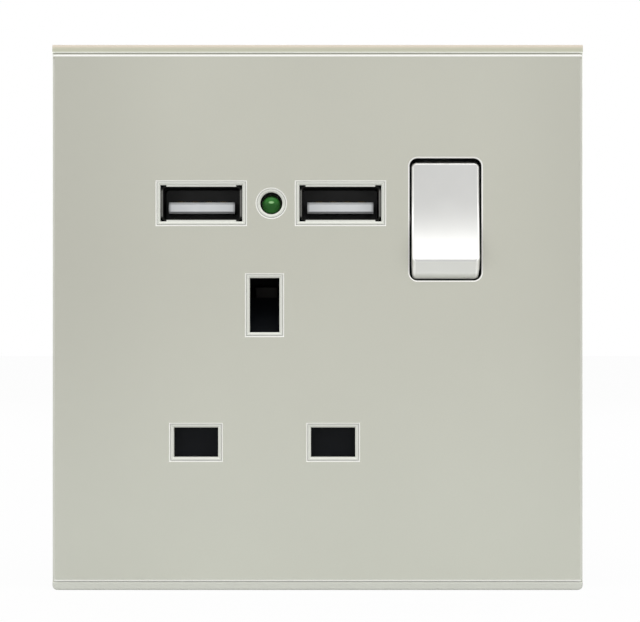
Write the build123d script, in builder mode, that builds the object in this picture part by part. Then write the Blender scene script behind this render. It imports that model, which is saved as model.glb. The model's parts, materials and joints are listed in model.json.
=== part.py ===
from build123d import *

import os
from math import cos, radians, sin, sqrt

os.makedirs("parts", exist_ok=True)

# Switched 13 A wall socket with two USB outlets.
# Millimetres, x right and z up as seen from the room. The wall is the plane y = 0 and the room
# is on the -y side, so a "level" is a distance in front of the wall, negative inside the wall.

# Face plate
PLATE_WIDTH = 86.0
PLATE_HEIGHT = 88.4
PLATE_LEVEL = 9.0
PLATE_CORNER = 0.8
PLATE_TOP_CORNER = 0.4
PANEL_THICKNESS = 1.2
PANEL_CORNER = 0.4
PANEL_BEVEL = 0.3
WINDOW_BEVEL = 0.2
PANEL_SIDE_STEP = 0.15
LIP_WIDTH = 1.3
LIP_GAP = 0.1
LIP_DROP = 0.3
LIP_ROUND = 0.35
FRAME_WALL = 1.6
SHELF_THICKNESS = 1.6
SHELF_REACH = 5.6
NUB_X = 25.0
NUB_WIDTH = 6.0
NUB_REACH = 0.7
NUB_LEVEL = 2.0
NUB_RISE = 0.8
HOOK_Z = 25.0
HOOK_WIDTH = 7.0
HOOK_THICKNESS = 0.9
HOOK_BARB = 1.1
HOOK_LENGTH = 3.2
HOOK_FIT = 0.35
HOOK_POCKET_FIT = 0.4

# White moulding that carries everything
CARRIER_WALL = 1.8
CARRIER_CORNER = 0.8
CARRIER_FIT = 0.2
RIM_THICKNESS = 2.0
PLATEAU_THICKNESS = 2.0
PLATEAU_MARGIN = 1.6
PLATEAU_FIT = 0.2
BEZEL_WALL = 0.5
BEZEL_DROP = 0.1
BEZEL_BEVEL = 0.25
WINDOW_FIT = 0.05
RIB_THICKNESS = 1.2
RIB_PITCH = 25.0
RIB_LEVEL = 1.0

# Pin apertures, spaced as the plug's pins are
PIN_PITCH = 22.23
SOCKET_X = -8.6
PIN_ROW_Z = -20.24
PIN_WIDTH = 6.35
PIN_THICKNESS = 3.98
EARTH_PIN_WIDTH = 7.98
PIN_PLAY = 0.85

# USB ports and lamp
USB_LEFT_X = -18.85
USB_RIGHT_X = 3.7
USB_Z = 18.5
SHELL_WIDTH = 13.1
SHELL_HEIGHT = 5.7
SHELL_WALL = 0.3
SHELL_FIT = 0.1
SHELL_SETBACK = 0.9
SHELL_CORNER = 0.5
MOUTH_LIP = 0.25
MOUTH_NOTCH = 1.0
TONGUE_WIDTH = 10.75
TONGUE_THICKNESS = 1.84
TONGUE_DROP = 0.7
TONGUE_SETBACK = 2.1
TONGUE_ROOT = 3.0
TONGUE_BEVEL = 0.35
USB_STRIP_WIDTH = 1.0
USB_STRIP_THICKNESS = 0.15
USB_STRIP_PITCH = 2.3
USB_STRIP_COUNT = 4
USB_STRIP_SETBACK = 1.2
LAMP_X = -7.5
LAMP_RADIUS = 1.6
LAMP_FIT = 0.2
LAMP_DROP = 0.1
LAMP_LENGTH = 5.2
LAMP_RECESS = 0.45
LAMP_ROUND = 1.2
LAMP_FLANGE = 0.5
LAMP_LEAD = 0.5
LAMP_LEAD_PITCH = 1.4

# Rocker switch
ROCKER_X = 20.73
ROCKER_Z = 15.9
ROCKER_WIDTH = 11.03
ROCKER_WINDOW_WIDTH = 11.7
ROCKER_WINDOW_HEIGHT = 19.85
ROCKER_WINDOW_CORNER = 1.3
ROCKER_PIVOT_DEPTH = 7.4
ROCKER_TILT = 10.0
ROCKER_FACE_HALF = 8.08
ROCKER_FACE_RISE = 8.2
ROCKER_FACE_SAG = 0.8
ROCKER_NOSE_GAP = 0.3
ROCKER_WALL = 1.3
ROCKER_SKIRT = 2.4
ROCKER_EDGE_ROUND = 0.45
ROCKER_CORNER = 0.9
TRUNNION_RADIUS = 1.5
TRUNNION_FIT = 0.1
WELL_WALL = 0.9
WELL_SIDE_FIT = 0.23
WELL_END_FIT = 0.35
WELL_TAB = 0.5
WELL_TAB_WIDTH = 8.0
WELL_TAB_THICKNESS = 1.2
WELL_FIT = 0.1
PLUNGER_RADIUS = 1.4
PLUNGER_REACH = 8.2
PLUNGER_TAIL = 0.5
PLUNGER_FIT = 0.1
PLUNGER_BOSS_WALL = 0.9
PLUNGER_BORE_TOP = 4.0
PLUNGER_BOSS_END = 3.4
PLUNGER_GAP = 0.1
PLUNGER_SPRING_WIRE = 0.35
PLUNGER_SPRING_TURNS = 4

# Seesaw contact
SEESAW_TILT = 12.0
SEESAW_WIDTH = 4.8
SEESAW_LENGTH = 14.0
SEESAW_THICKNESS = 0.8
SEESAW_TAB_REACH = 1.4
SEESAW_CONTACT = 5.7
SEESAW_PRONG_GAP = 0.6
SEESAW_NOTCH_FIT = 0.1
CONTACT_RADIUS = 1.3
CONTACT_HEIGHT = 0.7
CONTACT_GAP = 0.12
STRIP = 0.7
STRIP_WIDTH = 4.8
BUS_X = 12.0
BUS_WIDTH = 3.0
PRONG_LENGTH = 3.0

# Rear housing and what it holds
HOUSING_WIDTH = 62.2
HOUSING_HEIGHT = 62.0
HOUSING_DEPTH = 25.7
HOUSING_WALL = 1.5
HOUSING_CORNER = 3.0
EAR_Z = 17.0
EAR_WIDTH = 5.0
EAR_FIT = 0.3
EAR_THICKNESS = 2.4
EAR_BOSS_RADIUS = 1.9
HOUSING_SCREW_RADIUS = 0.9
HOUSING_SCREW_FIT = 0.05
HOUSING_SCREW_BITE = 1.5
HOUSING_SCREW_HEAD = 1.5
HOUSING_SCREW_HEAD_HEIGHT = 1.5
TERMINAL_SIZE = 7.6
TERMINAL_DEPTH = 9.2
TERMINAL_BEVEL = 0.4
WIRE_RADIUS = 2.2
WIRE_DEPTH = 4.9
WIRE_WINDOW = 7.0
WIRE_WINDOW_CORNER = 1.0
TERMINAL_SCREW_RADIUS = 1.5
TERMINAL_SCREW_FIT = 0.05
TERMINAL_SCREW_GAP = 0.4
TERMINAL_HEAD_RADIUS = 2.8
TERMINAL_HEAD_HEIGHT = 1.2
TERMINAL_ACCESS_RADIUS = 3.3
CLIP_GAP = 4.3
CLIP_WIDTH = 6.0
CLIP_LEVEL = 1.6
EARTH_CLIP_LEVEL = -3.0
CLIP_FLARE = 0.9
CLIP_BEND = 0.8
PEDESTAL_SIZE = 5.0

# Fixing screws to the wall box
FIXING_PITCH = 60.3
FIXING_THREAD_RADIUS = 1.75
FIXING_NECK_RADIUS = 1.55
FIXING_LENGTH = 21.5
FIXING_TIP_BEVEL = 0.45
FIXING_HEAD_RADIUS = 3.5
FIXING_HEAD_HEIGHT = 2.3
FIXING_HEAD_BEVEL = 0.75
FIXING_HOLE_RADIUS = 2.1
FIXING_WELL_RADIUS = 3.8
FIXING_WELL_WALL = 0.8
FIXING_FLOOR = 2.0
FIXING_FLOOR_LEVEL = 3.6
SCALLOP_RADIUS = 3.2
SCALLOP_WALL = 1.3
SCREW_SLOT_WIDTH = 0.8
SCREW_SLOT_DEPTH = 0.8

# Safety shutter
SHUTTER_GAP = 0.3
SHUTTER_THICKNESS = 2.6
SHUTTER_COVER = 0.7
SHUTTER_STEM_WIDTH = 8.4
SHUTTER_SLOT_WIDTH = 4.4
SHUTTER_SLOT_TOP = -12.0
SHUTTER_RAMP = 5.6
SHUTTER_RAMP_WIDTH = 5.8
RAIL_FIT = 0.2
RAIL_THICKNESS = 1.2
RAIL_LIP = 1.2
RAIL_BOTTOM = -15.0
RAIL_TOP = -9.5
SHUTTER_SPRING_RADIUS = 1.4
SHUTTER_SPRING_WIRE = 0.4
SHUTTER_SPRING_TURNS = 7
SPRING_POST_Z = -24.5
SPRING_POST_WIDTH = 3.6
SPRING_POST_THICKNESS = 1.5
SPRING_PIN_RADIUS = 0.9
SPRING_PIN_LENGTH = 2.0

# USB charger board
BOARD_LEFT = -25.5
BOARD_RIGHT = 10.2
BOARD_BOTTOM = 9.6
BOARD_TOP = 27.6
BOARD_THICKNESS = 1.6
BOARD_LEVEL = -6.0
BOARD_POST_RADIUS = 1.6
BOARD_POST_INSET = 1.6
BOARD_PIN_RADIUS = 0.8
BOARD_PIN_FIT = 0.1
CORE_X = -16.5
CORE_WIDTH = 16.0
CORE_HEIGHT = 8.0
CORE_DEPTH = 11.0
CORE_LIMB = 2.4
CORE_MIDDLE_LIMB = 4.0
WINDING_FIT = 0.2
WINDING_BUILD = 2.6
BULK_X = 2.6
BULK_RADIUS = 4.0
BULK_LENGTH = 12.0
BULK_SPACING = 8.6
OUTPUT_X = -5.0
OUTPUT_Z = 23.4
OUTPUT_RADIUS = 2.6
OUTPUT_LENGTH = 8.0
CAN_ROUND = 0.5
RECTIFIER_X = -5.0
RECTIFIER_Z = 13.2
RECTIFIER_SIZE = 5.0
RECTIFIER_DEPTH = 2.4
CHIP_X = -5.0
CHIP_Z = 18.0
CHIP_WIDTH = 4.9
CHIP_HEIGHT = 3.9
CHIP_DEPTH = 1.5
CHIP_BEVEL = 0.25
LEAD_RADIUS = 0.7
LEAD_BEND = 2.5
LEAD_LEVEL = -19.5
LEAD_INSET = 1.0
LEAD_DROP = 7.5
LINE_LEAD_X = -1.2
LINE_LEAD_INSET = 2.6
NEUTRAL_LEAD_INSET = 1.4

# Levels and sizes that follow from the driving dimensions
PANEL_BACK = PLATE_LEVEL - PANEL_THICKNESS
PANEL_WIDTH = PLATE_WIDTH - 2 * PANEL_SIDE_STEP
TRAY_HEIGHT = PLATE_HEIGHT - 2 * LIP_WIDTH
PANEL_HEIGHT = TRAY_HEIGHT - 2 * LIP_GAP
SHELF_BACK = PANEL_BACK - SHELF_THICKNESS
SHELF_WIDTH = PLATE_WIDTH - 2 * SHELF_REACH
SHELF_HEIGHT = PLATE_HEIGHT - 2 * SHELF_REACH
FRAME_INNER_WIDTH = PLATE_WIDTH - 2 * FRAME_WALL
FRAME_INNER_HEIGHT = PLATE_HEIGHT - 2 * FRAME_WALL
CARRIER_WIDTH = FRAME_INNER_WIDTH - 2 * CARRIER_FIT
CARRIER_HEIGHT = FRAME_INNER_HEIGHT - 2 * CARRIER_FIT
RIM_BACK = SHELF_BACK - RIM_THICKNESS
PLATEAU_WIDTH = SHELF_WIDTH - 2 * PLATEAU_MARGIN
PLATEAU_HEIGHT = SHELF_HEIGHT - 2 * PLATEAU_MARGIN
PLATEAU_LEVEL = PANEL_BACK - PLATEAU_FIT
PLATEAU_BACK = PLATEAU_LEVEL - PLATEAU_THICKNESS
BEZEL_LEVEL = PLATE_LEVEL - BEZEL_DROP
HOOK_OUTER = SHELF_WIDTH / 2 - HOOK_FIT
HOOK_INNER = HOOK_OUTER - HOOK_THICKNESS
HOOK_TIP = PANEL_BACK - HOOK_LENGTH

LINE_X = SOCKET_X + PIN_PITCH / 2
NEUTRAL_X = SOCKET_X - PIN_PITCH / 2
EARTH_Z = PIN_ROW_Z + PIN_PITCH
PIN_HOLES = [
    (LINE_X, PIN_ROW_Z, PIN_WIDTH + PIN_PLAY, PIN_THICKNESS + PIN_PLAY),
    (NEUTRAL_X, PIN_ROW_Z, PIN_WIDTH + PIN_PLAY, PIN_THICKNESS + PIN_PLAY),
    (SOCKET_X, EARTH_Z, PIN_THICKNESS + PIN_PLAY, EARTH_PIN_WIDTH + PIN_PLAY),
]
USB_CENTRES = (USB_LEFT_X, USB_RIGHT_X)
USB_HOLES = [
    (x, USB_Z, SHELL_WIDTH + 2 * SHELL_FIT, SHELL_HEIGHT + 2 * SHELL_FIT) for x in USB_CENTRES
]
SHELL_INNER_WIDTH = SHELL_WIDTH - 2 * SHELL_WALL
SHELL_INNER_HEIGHT = SHELL_HEIGHT - 2 * SHELL_WALL
SHELL_LEVEL = BEZEL_LEVEL - SHELL_SETBACK
TONGUE_LEVEL = SHELL_LEVEL - TONGUE_SETBACK
TONGUE_BASE = BOARD_LEVEL + TONGUE_ROOT
LAMP_Z = USB_Z - LAMP_DROP
LAMP_HOLE_RADIUS = LAMP_RADIUS + LAMP_FIT
LAMP_BEZEL_RADIUS = LAMP_HOLE_RADIUS + BEZEL_WALL
LAMP_TIP = BEZEL_LEVEL - LAMP_RECESS
LAMP_BASE = LAMP_TIP - LAMP_LENGTH
FIXINGS = [(-FIXING_PITCH / 2, 0), (FIXING_PITCH / 2, 0)]

ROCKER_PIVOT = PLATE_LEVEL - ROCKER_PIVOT_DEPTH
NOSE_LEVEL = PANEL_BACK - ROCKER_PIVOT
NOSE_REACH = ROCKER_WINDOW_HEIGHT / 2 - ROCKER_NOSE_GAP
NOSE_RADIUS = sqrt(NOSE_REACH**2 + NOSE_LEVEL**2)
FRONT_LEVEL = PLATE_LEVEL - ROCKER_PIVOT
FRONT_REACH = sqrt(NOSE_RADIUS**2 - FRONT_LEVEL**2)
TILT = radians(ROCKER_TILT)
NOSE_U = FRONT_REACH * cos(TILT) + FRONT_LEVEL * sin(TILT)
NOSE_V = FRONT_LEVEL * cos(TILT) - FRONT_REACH * sin(TILT)
HEEL_U = NOSE_REACH * cos(TILT) + NOSE_LEVEL * sin(TILT)
HEEL_V = NOSE_LEVEL * cos(TILT) - NOSE_REACH * sin(TILT)
WELL_INNER_WIDTH = ROCKER_WIDTH + 2 * WELL_SIDE_FIT
WELL_INNER_HEIGHT = 2 * (HEEL_U * cos(TILT) + HEEL_V * sin(TILT) + WELL_END_FIT)
WELL_WIDTH = WELL_INNER_WIDTH + 2 * WELL_WALL
WELL_HEIGHT = WELL_INNER_HEIGHT + 2 * WELL_WALL

# The housing is centred on what it holds
HOUSING_X = (BOARD_LEFT + ROCKER_X + WELL_WIDTH / 2) / 2
HOUSING_Z = (ROCKER_Z + WELL_HEIGHT / 2 + WELL_TAB + PIN_ROW_Z - TERMINAL_SIZE / 2) / 2
HOUSING_BOTTOM = HOUSING_Z - HOUSING_HEIGHT / 2
SKIRT_INNER_X = CARRIER_WIDTH / 2 - CARRIER_WALL
EARS = [
    ((HOUSING_X + side * (HOUSING_WIDTH / 2 + SKIRT_INNER_X)) / 2, z)
    for side in (-1, 1)
    for z in (-EAR_Z, EAR_Z)
]
CAVITY_BACK = HOUSING_WALL - HOUSING_DEPTH
BUS_LEVEL = CAVITY_BACK + TERMINAL_DEPTH
WIRE_LEVEL = BUS_LEVEL - WIRE_DEPTH
SEESAW_PIVOT = ROCKER_PIVOT - PLUNGER_REACH - PLUNGER_GAP - SEESAW_THICKNESS / 2
SEESAW = radians(SEESAW_TILT)
CONTACT_DEPTH = SEESAW_THICKNESS / 2 + CONTACT_HEIGHT
FIXED_LEVEL = (
    SEESAW_PIVOT
    - SEESAW_CONTACT * sin(SEESAW)
    - CONTACT_DEPTH * cos(SEESAW)
    - CONTACT_RADIUS * sin(SEESAW)
    - CONTACT_GAP
)
FIXED_Z = ROCKER_Z + SEESAW_CONTACT * cos(SEESAW) - CONTACT_DEPTH * sin(SEESAW)
STAND_LEVEL = FIXED_LEVEL - CONTACT_HEIGHT
STAND_X = ROCKER_X + SEESAW_WIDTH / 2 + SEESAW_TAB_REACH
PRONG_X = SEESAW_WIDTH / 2 + SEESAW_PRONG_GAP
TERMINALS = [(ROCKER_X, PIN_ROW_Z), (NEUTRAL_X, PIN_ROW_Z), (SOCKET_X, PIN_ROW_Z)]

SHUTTER_LEVEL = PLATEAU_BACK - SHUTTER_GAP
SHUTTER_BACK = SHUTTER_LEVEL - SHUTTER_THICKNESS
SHUTTER_BAR_HEIGHT = PIN_THICKNESS + PIN_PLAY + 2 * SHUTTER_COVER
SHUTTER_BAR_WIDTH = PIN_PITCH + PIN_WIDTH + PIN_PLAY + 2 * SHUTTER_COVER
RAMP_BOTTOM = EARTH_Z - (EARTH_PIN_WIDTH + PIN_PLAY) / 2
RAMP_END = RAMP_BOTTOM + SHUTTER_RAMP
SPRING_LEVEL = SHUTTER_LEVEL - SHUTTER_THICKNESS / 2
BOARD_BACK = BOARD_LEVEL - BOARD_THICKNESS
BOARD_POSTS = [
    (x, z)
    for x in (BOARD_LEFT + BOARD_POST_INSET, BOARD_RIGHT - BOARD_POST_INSET)
    for z in (BOARD_BOTTOM + BOARD_POST_INSET, BOARD_TOP - BOARD_POST_INSET)
]


def level(height):
    """Plane parallel to the wall: local x right, local y up, normal into the room."""
    return Plane.XZ.offset(height)


def section(x):
    """Upright plane square to the plate: local x up, local y into the room, normal to the right."""
    return Plane(origin=(x, 0, 0), x_dir=(0, 0, 1), z_dir=(1, 0, 0))


def across(z):
    """Horizontal plane: local x right, local y into the room, normal downwards."""
    return Plane(origin=(0, 0, z), x_dir=(1, 0, 0), z_dir=(0, 0, -1))


def tilted(x, pivot_level, lean):
    """Section plane through a switch pivot whose upper end leans into the wall by this angle."""
    return Plane(origin=(x, -pivot_level, ROCKER_Z), x_dir=(0, sin(lean), cos(lean)), z_dir=(1, 0, 0))


def rectangles(holes, margin):
    """Rectangles round these holes, wider by a margin on every side, in the open sketch."""
    for x, z, width, height in holes:
        with Locations((x, z)):
            Rectangle(width + 2 * margin, height + 2 * margin)


def coil(start, direction, length, radius, wire, turns):
    """Helical spring of six-sided wire."""
    with BuildPart() as spring:
        with BuildLine() as path:
            Helix(length / turns, length, radius, center=start, direction=direction)
        with BuildSketch(Plane(origin=path.line @ 0, z_dir=path.line % 0)):
            RegularPolygon(wire / 2, 6)
        sweep(path=path.line, is_frenet=True)
    return spring


def clip_outline(centre, front):
    """Section of a folded pin clip: two legs on a flat base, flared where the pin comes in."""
    half = (CLIP_GAP + STRIP) / 2
    tip, root, base = half + CLIP_FLARE, front - 2 * CLIP_FLARE, BUS_LEVEL + STRIP / 2
    return [
        (centre - tip, front),
        (centre - half, root),
        (centre - half, base),
        (centre + half, base),
        (centre + half, root),
        (centre + tip, front),
    ]


# Decorative front panel with snap hooks on its back
with BuildPart() as front_panel:
    with BuildSketch(level(PANEL_BACK)):
        RectangleRounded(PANEL_WIDTH, PANEL_HEIGHT, PANEL_CORNER)
    extrude(amount=PANEL_THICKNESS)
    chamfer(front_panel.edges().group_by(Axis.Y)[0], PANEL_BEVEL)
    with BuildSketch(level(PANEL_BACK)):
        rectangles(PIN_HOLES + USB_HOLES, BEZEL_WALL + WINDOW_FIT)
        with Locations((LAMP_X, USB_Z)):
            Circle(LAMP_BEZEL_RADIUS + WINDOW_FIT)
        with Locations((ROCKER_X, ROCKER_Z)):
            RectangleRounded(ROCKER_WINDOW_WIDTH, ROCKER_WINDOW_HEIGHT, ROCKER_WINDOW_CORNER)
    extrude(amount=PANEL_THICKNESS, mode=Mode.SUBTRACT)
    chamfer(front_panel.faces().sort_by(Axis.Y)[0].inner_wires().edges(), WINDOW_BEVEL)
    for side in (-1, 1):
        for z in (-HOOK_Z, HOOK_Z):
            with BuildSketch(across(z + HOOK_WIDTH / 2)):
                with BuildLine():
                    Polyline(
                        (side * HOOK_INNER, PANEL_BACK),
                        (side * HOOK_OUTER, PANEL_BACK),
                        (side * HOOK_OUTER, SHELF_BACK),
                        (side * (HOOK_OUTER + HOOK_BARB), SHELF_BACK),
                        (side * HOOK_OUTER, HOOK_TIP),
                        (side * HOOK_INNER, HOOK_TIP),
                        close=True,
                    )
                make_face()
            extrude(amount=HOOK_WIDTH)

# Outer frame: a tray for the panel, with a lip above and below it
with BuildPart() as outer_frame:
    with BuildSketch(level(0)) as outline:
        Rectangle(PLATE_WIDTH, PLATE_HEIGHT)
        lower, upper = outline.vertices().group_by(Axis.Y)
        fillet(lower, PLATE_CORNER)
        fillet(upper, PLATE_TOP_CORNER)
    extrude(amount=PLATE_LEVEL - LIP_DROP)
    with BuildSketch(level(PANEL_BACK)):
        Rectangle(PLATE_WIDTH, TRAY_HEIGHT)
    extrude(amount=PANEL_THICKNESS, mode=Mode.SUBTRACT)
    crest = outer_frame.edges().group_by(Axis.Y)[0]
    fillet(crest.filter_by(lambda edge: abs(edge.center().Z) > (TRAY_HEIGHT + LIP_WIDTH) / 2), LIP_ROUND)
    with BuildSketch(level(0)):
        Rectangle(FRAME_INNER_WIDTH, FRAME_INNER_HEIGHT)
    extrude(amount=SHELF_BACK, mode=Mode.SUBTRACT)
    with BuildSketch(level(SHELF_BACK)):
        Rectangle(SHELF_WIDTH, SHELF_HEIGHT)
    extrude(amount=SHELF_THICKNESS, mode=Mode.SUBTRACT)
    for x in (-NUB_X, NUB_X):
        for side in (-1, 1):
            with BuildSketch(section(x)):
                with BuildLine():
                    Polyline(
                        (side * FRAME_INNER_HEIGHT / 2, NUB_LEVEL - NUB_RISE),
                        (side * (FRAME_INNER_HEIGHT / 2 - NUB_REACH), NUB_LEVEL),
                        (side * FRAME_INNER_HEIGHT / 2, NUB_LEVEL + NUB_RISE),
                        close=True,
                    )
                make_face()
            extrude(amount=NUB_WIDTH / 2, both=True)

# White front moulding: skirt, rim, raised plateau, bezels, screw wells and shutter guides
with BuildPart() as socket_front:
    with BuildSketch(level(0)):
        RectangleRounded(CARRIER_WIDTH, CARRIER_HEIGHT, CARRIER_CORNER)
    extrude(amount=SHELF_BACK)
    with BuildSketch(level(0)):
        Rectangle(CARRIER_WIDTH - 2 * CARRIER_WALL, CARRIER_HEIGHT - 2 * CARRIER_WALL)
    extrude(amount=RIM_BACK, mode=Mode.SUBTRACT)
    with BuildSketch(level(RIM_BACK)):
        Rectangle(PLATEAU_WIDTH, PLATEAU_HEIGHT)
    extrude(amount=PLATEAU_LEVEL - RIM_BACK)
    with BuildSketch(level(RIM_BACK)):
        Rectangle(PLATEAU_WIDTH - 2 * CARRIER_WALL, PLATEAU_HEIGHT - 2 * CARRIER_WALL)
    extrude(amount=PLATEAU_BACK - RIM_BACK, mode=Mode.SUBTRACT)
    # Stiffening ribs between the skirt and the plateau's wall
    with BuildSketch(level(RIB_LEVEL)):
        with GridLocations(RIB_PITCH, (CARRIER_HEIGHT + PLATEAU_HEIGHT) / 2 - CARRIER_WALL, 2, 2):
            Rectangle(RIB_THICKNESS, (CARRIER_HEIGHT - PLATEAU_HEIGHT) / 2)
        with GridLocations((CARRIER_WIDTH + PLATEAU_WIDTH) / 2 - CARRIER_WALL, RIB_PITCH, 2, 2):
            Rectangle((CARRIER_WIDTH - PLATEAU_WIDTH) / 2, RIB_THICKNESS)
    extrude(amount=RIM_BACK - RIB_LEVEL)
    # Bezels that fill the panel's windows
    with BuildSketch(level(PLATEAU_LEVEL)):
        rectangles(PIN_HOLES + USB_HOLES, BEZEL_WALL)
        with Locations((LAMP_X, USB_Z)):
            Circle(LAMP_BEZEL_RADIUS)
    extrude(amount=BEZEL_LEVEL - PLATEAU_LEVEL)
    with BuildSketch(level(PLATEAU_BACK)):
        rectangles(PIN_HOLES + USB_HOLES, 0)
        with Locations((LAMP_X, USB_Z)):
            Circle(LAMP_HOLE_RADIUS)
    extrude(amount=BEZEL_LEVEL - PLATEAU_BACK, mode=Mode.SUBTRACT)
    rims = socket_front.faces().group_by(Axis.Y)[0]
    chamfer([edge for rim in rims for edge in rim.inner_wires().edges()], BEZEL_BEVEL)
    # Lips above and below each USB mouth that stop short of its corners
    with BuildSketch(level(SHELL_LEVEL + SHELL_FIT)):
        for x, z, width, height in USB_HOLES:
            with Locations((x, z)):
                with GridLocations(0, height - MOUTH_LIP, 1, 2):
                    Rectangle(width - 2 * MOUTH_NOTCH, MOUTH_LIP)
    extrude(amount=BEZEL_LEVEL - BEZEL_BEVEL - SHELL_LEVEL - SHELL_FIT)
    # Wells and holes for the fixing screws, and bosses for the housing's screws
    with BuildSketch(level(FIXING_FLOOR_LEVEL - FIXING_FLOOR)):
        with Locations(*FIXINGS):
            Circle(FIXING_WELL_RADIUS + FIXING_WELL_WALL)
    extrude(amount=PLATEAU_BACK - FIXING_FLOOR_LEVEL + FIXING_FLOOR)
    with BuildSketch(level(FIXING_FLOOR_LEVEL)):
        with Locations(*FIXINGS):
            Circle(FIXING_WELL_RADIUS)
    extrude(amount=PLATEAU_LEVEL - FIXING_FLOOR_LEVEL, mode=Mode.SUBTRACT)
    with BuildSketch(level(FIXING_FLOOR_LEVEL - FIXING_FLOOR)):
        with Locations(*FIXINGS):
            Circle(FIXING_HOLE_RADIUS)
    extrude(amount=FIXING_FLOOR, mode=Mode.SUBTRACT)
    with BuildSketch(level(RIM_BACK)):
        with Locations(*EARS):
            Circle(EAR_BOSS_RADIUS)
    extrude(amount=PLATEAU_BACK - RIM_BACK)
    with BuildSketch(level(RIM_BACK)):
        with Locations(*EARS):
            Circle(HOUSING_SCREW_RADIUS)
    extrude(amount=HOUSING_SCREW_BITE, mode=Mode.SUBTRACT)
    # Opening for the switch frame
    with BuildSketch(level(PLATEAU_BACK)):
        with Locations((ROCKER_X, ROCKER_Z)):
            Rectangle(WELL_WIDTH + 2 * WELL_FIT, WELL_HEIGHT + 2 * WELL_FIT)
    extrude(amount=PLATEAU_THICKNESS, mode=Mode.SUBTRACT)
    # Pockets for the panel's hooks and windows for the frame's nubs
    with BuildSketch(level(RIM_BACK)):
        for side in (-1, 1):
            for z in (-HOOK_Z, HOOK_Z):
                with Locations((side * (PLATEAU_WIDTH / 2), z)):
                    Rectangle(
                        PLATEAU_MARGIN + HOOK_BARB + CARRIER_FIT,
                        HOOK_WIDTH + 2 * HOOK_POCKET_FIT,
                        align=(Align.MIN if side > 0 else Align.MAX, Align.CENTER),
                    )
    extrude(amount=RIM_THICKNESS, mode=Mode.SUBTRACT)
    for x in (-NUB_X, NUB_X):
        with BuildSketch(section(x)):
            with Locations((0, NUB_LEVEL)):
                Rectangle(CARRIER_HEIGHT, 2 * NUB_RISE)
        extrude(amount=NUB_WIDTH / 2 + CARRIER_FIT, both=True, mode=Mode.SUBTRACT)
    # Guide rails and spring post for the shutter
    for side in (-1, 1):
        inner = SHUTTER_STEM_WIDTH / 2 + RAIL_FIT
        with BuildSketch(across(RAIL_TOP)):
            with BuildLine():
                Polyline(
                    (SOCKET_X + side * inner, PLATEAU_BACK),
                    (SOCKET_X + side * (inner + RAIL_THICKNESS), PLATEAU_BACK),
                    (SOCKET_X + side * (inner + RAIL_THICKNESS), SHUTTER_BACK - RAIL_FIT - RAIL_LIP),
                    (SOCKET_X + side * (inner - RAIL_LIP), SHUTTER_BACK - RAIL_FIT - RAIL_LIP),
                    (SOCKET_X + side * (inner - RAIL_LIP), SHUTTER_BACK - RAIL_FIT),
                    (SOCKET_X + side * inner, SHUTTER_BACK - RAIL_FIT),
                    close=True,
                )
            make_face()
        extrude(amount=RAIL_TOP - RAIL_BOTTOM)
    with BuildSketch(level(SHUTTER_BACK)):
        with Locations((SOCKET_X, SPRING_POST_Z)):
            Rectangle(SPRING_POST_WIDTH, SPRING_POST_THICKNESS, align=(Align.CENTER, Align.MAX))
    extrude(amount=PLATEAU_BACK - SHUTTER_BACK)
    with BuildSketch(across(SPRING_POST_Z + SPRING_PIN_LENGTH)):
        with Locations((SOCKET_X, SPRING_LEVEL)):
            Circle(SPRING_PIN_RADIUS)
    extrude(amount=SPRING_PIN_LENGTH)

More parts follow.
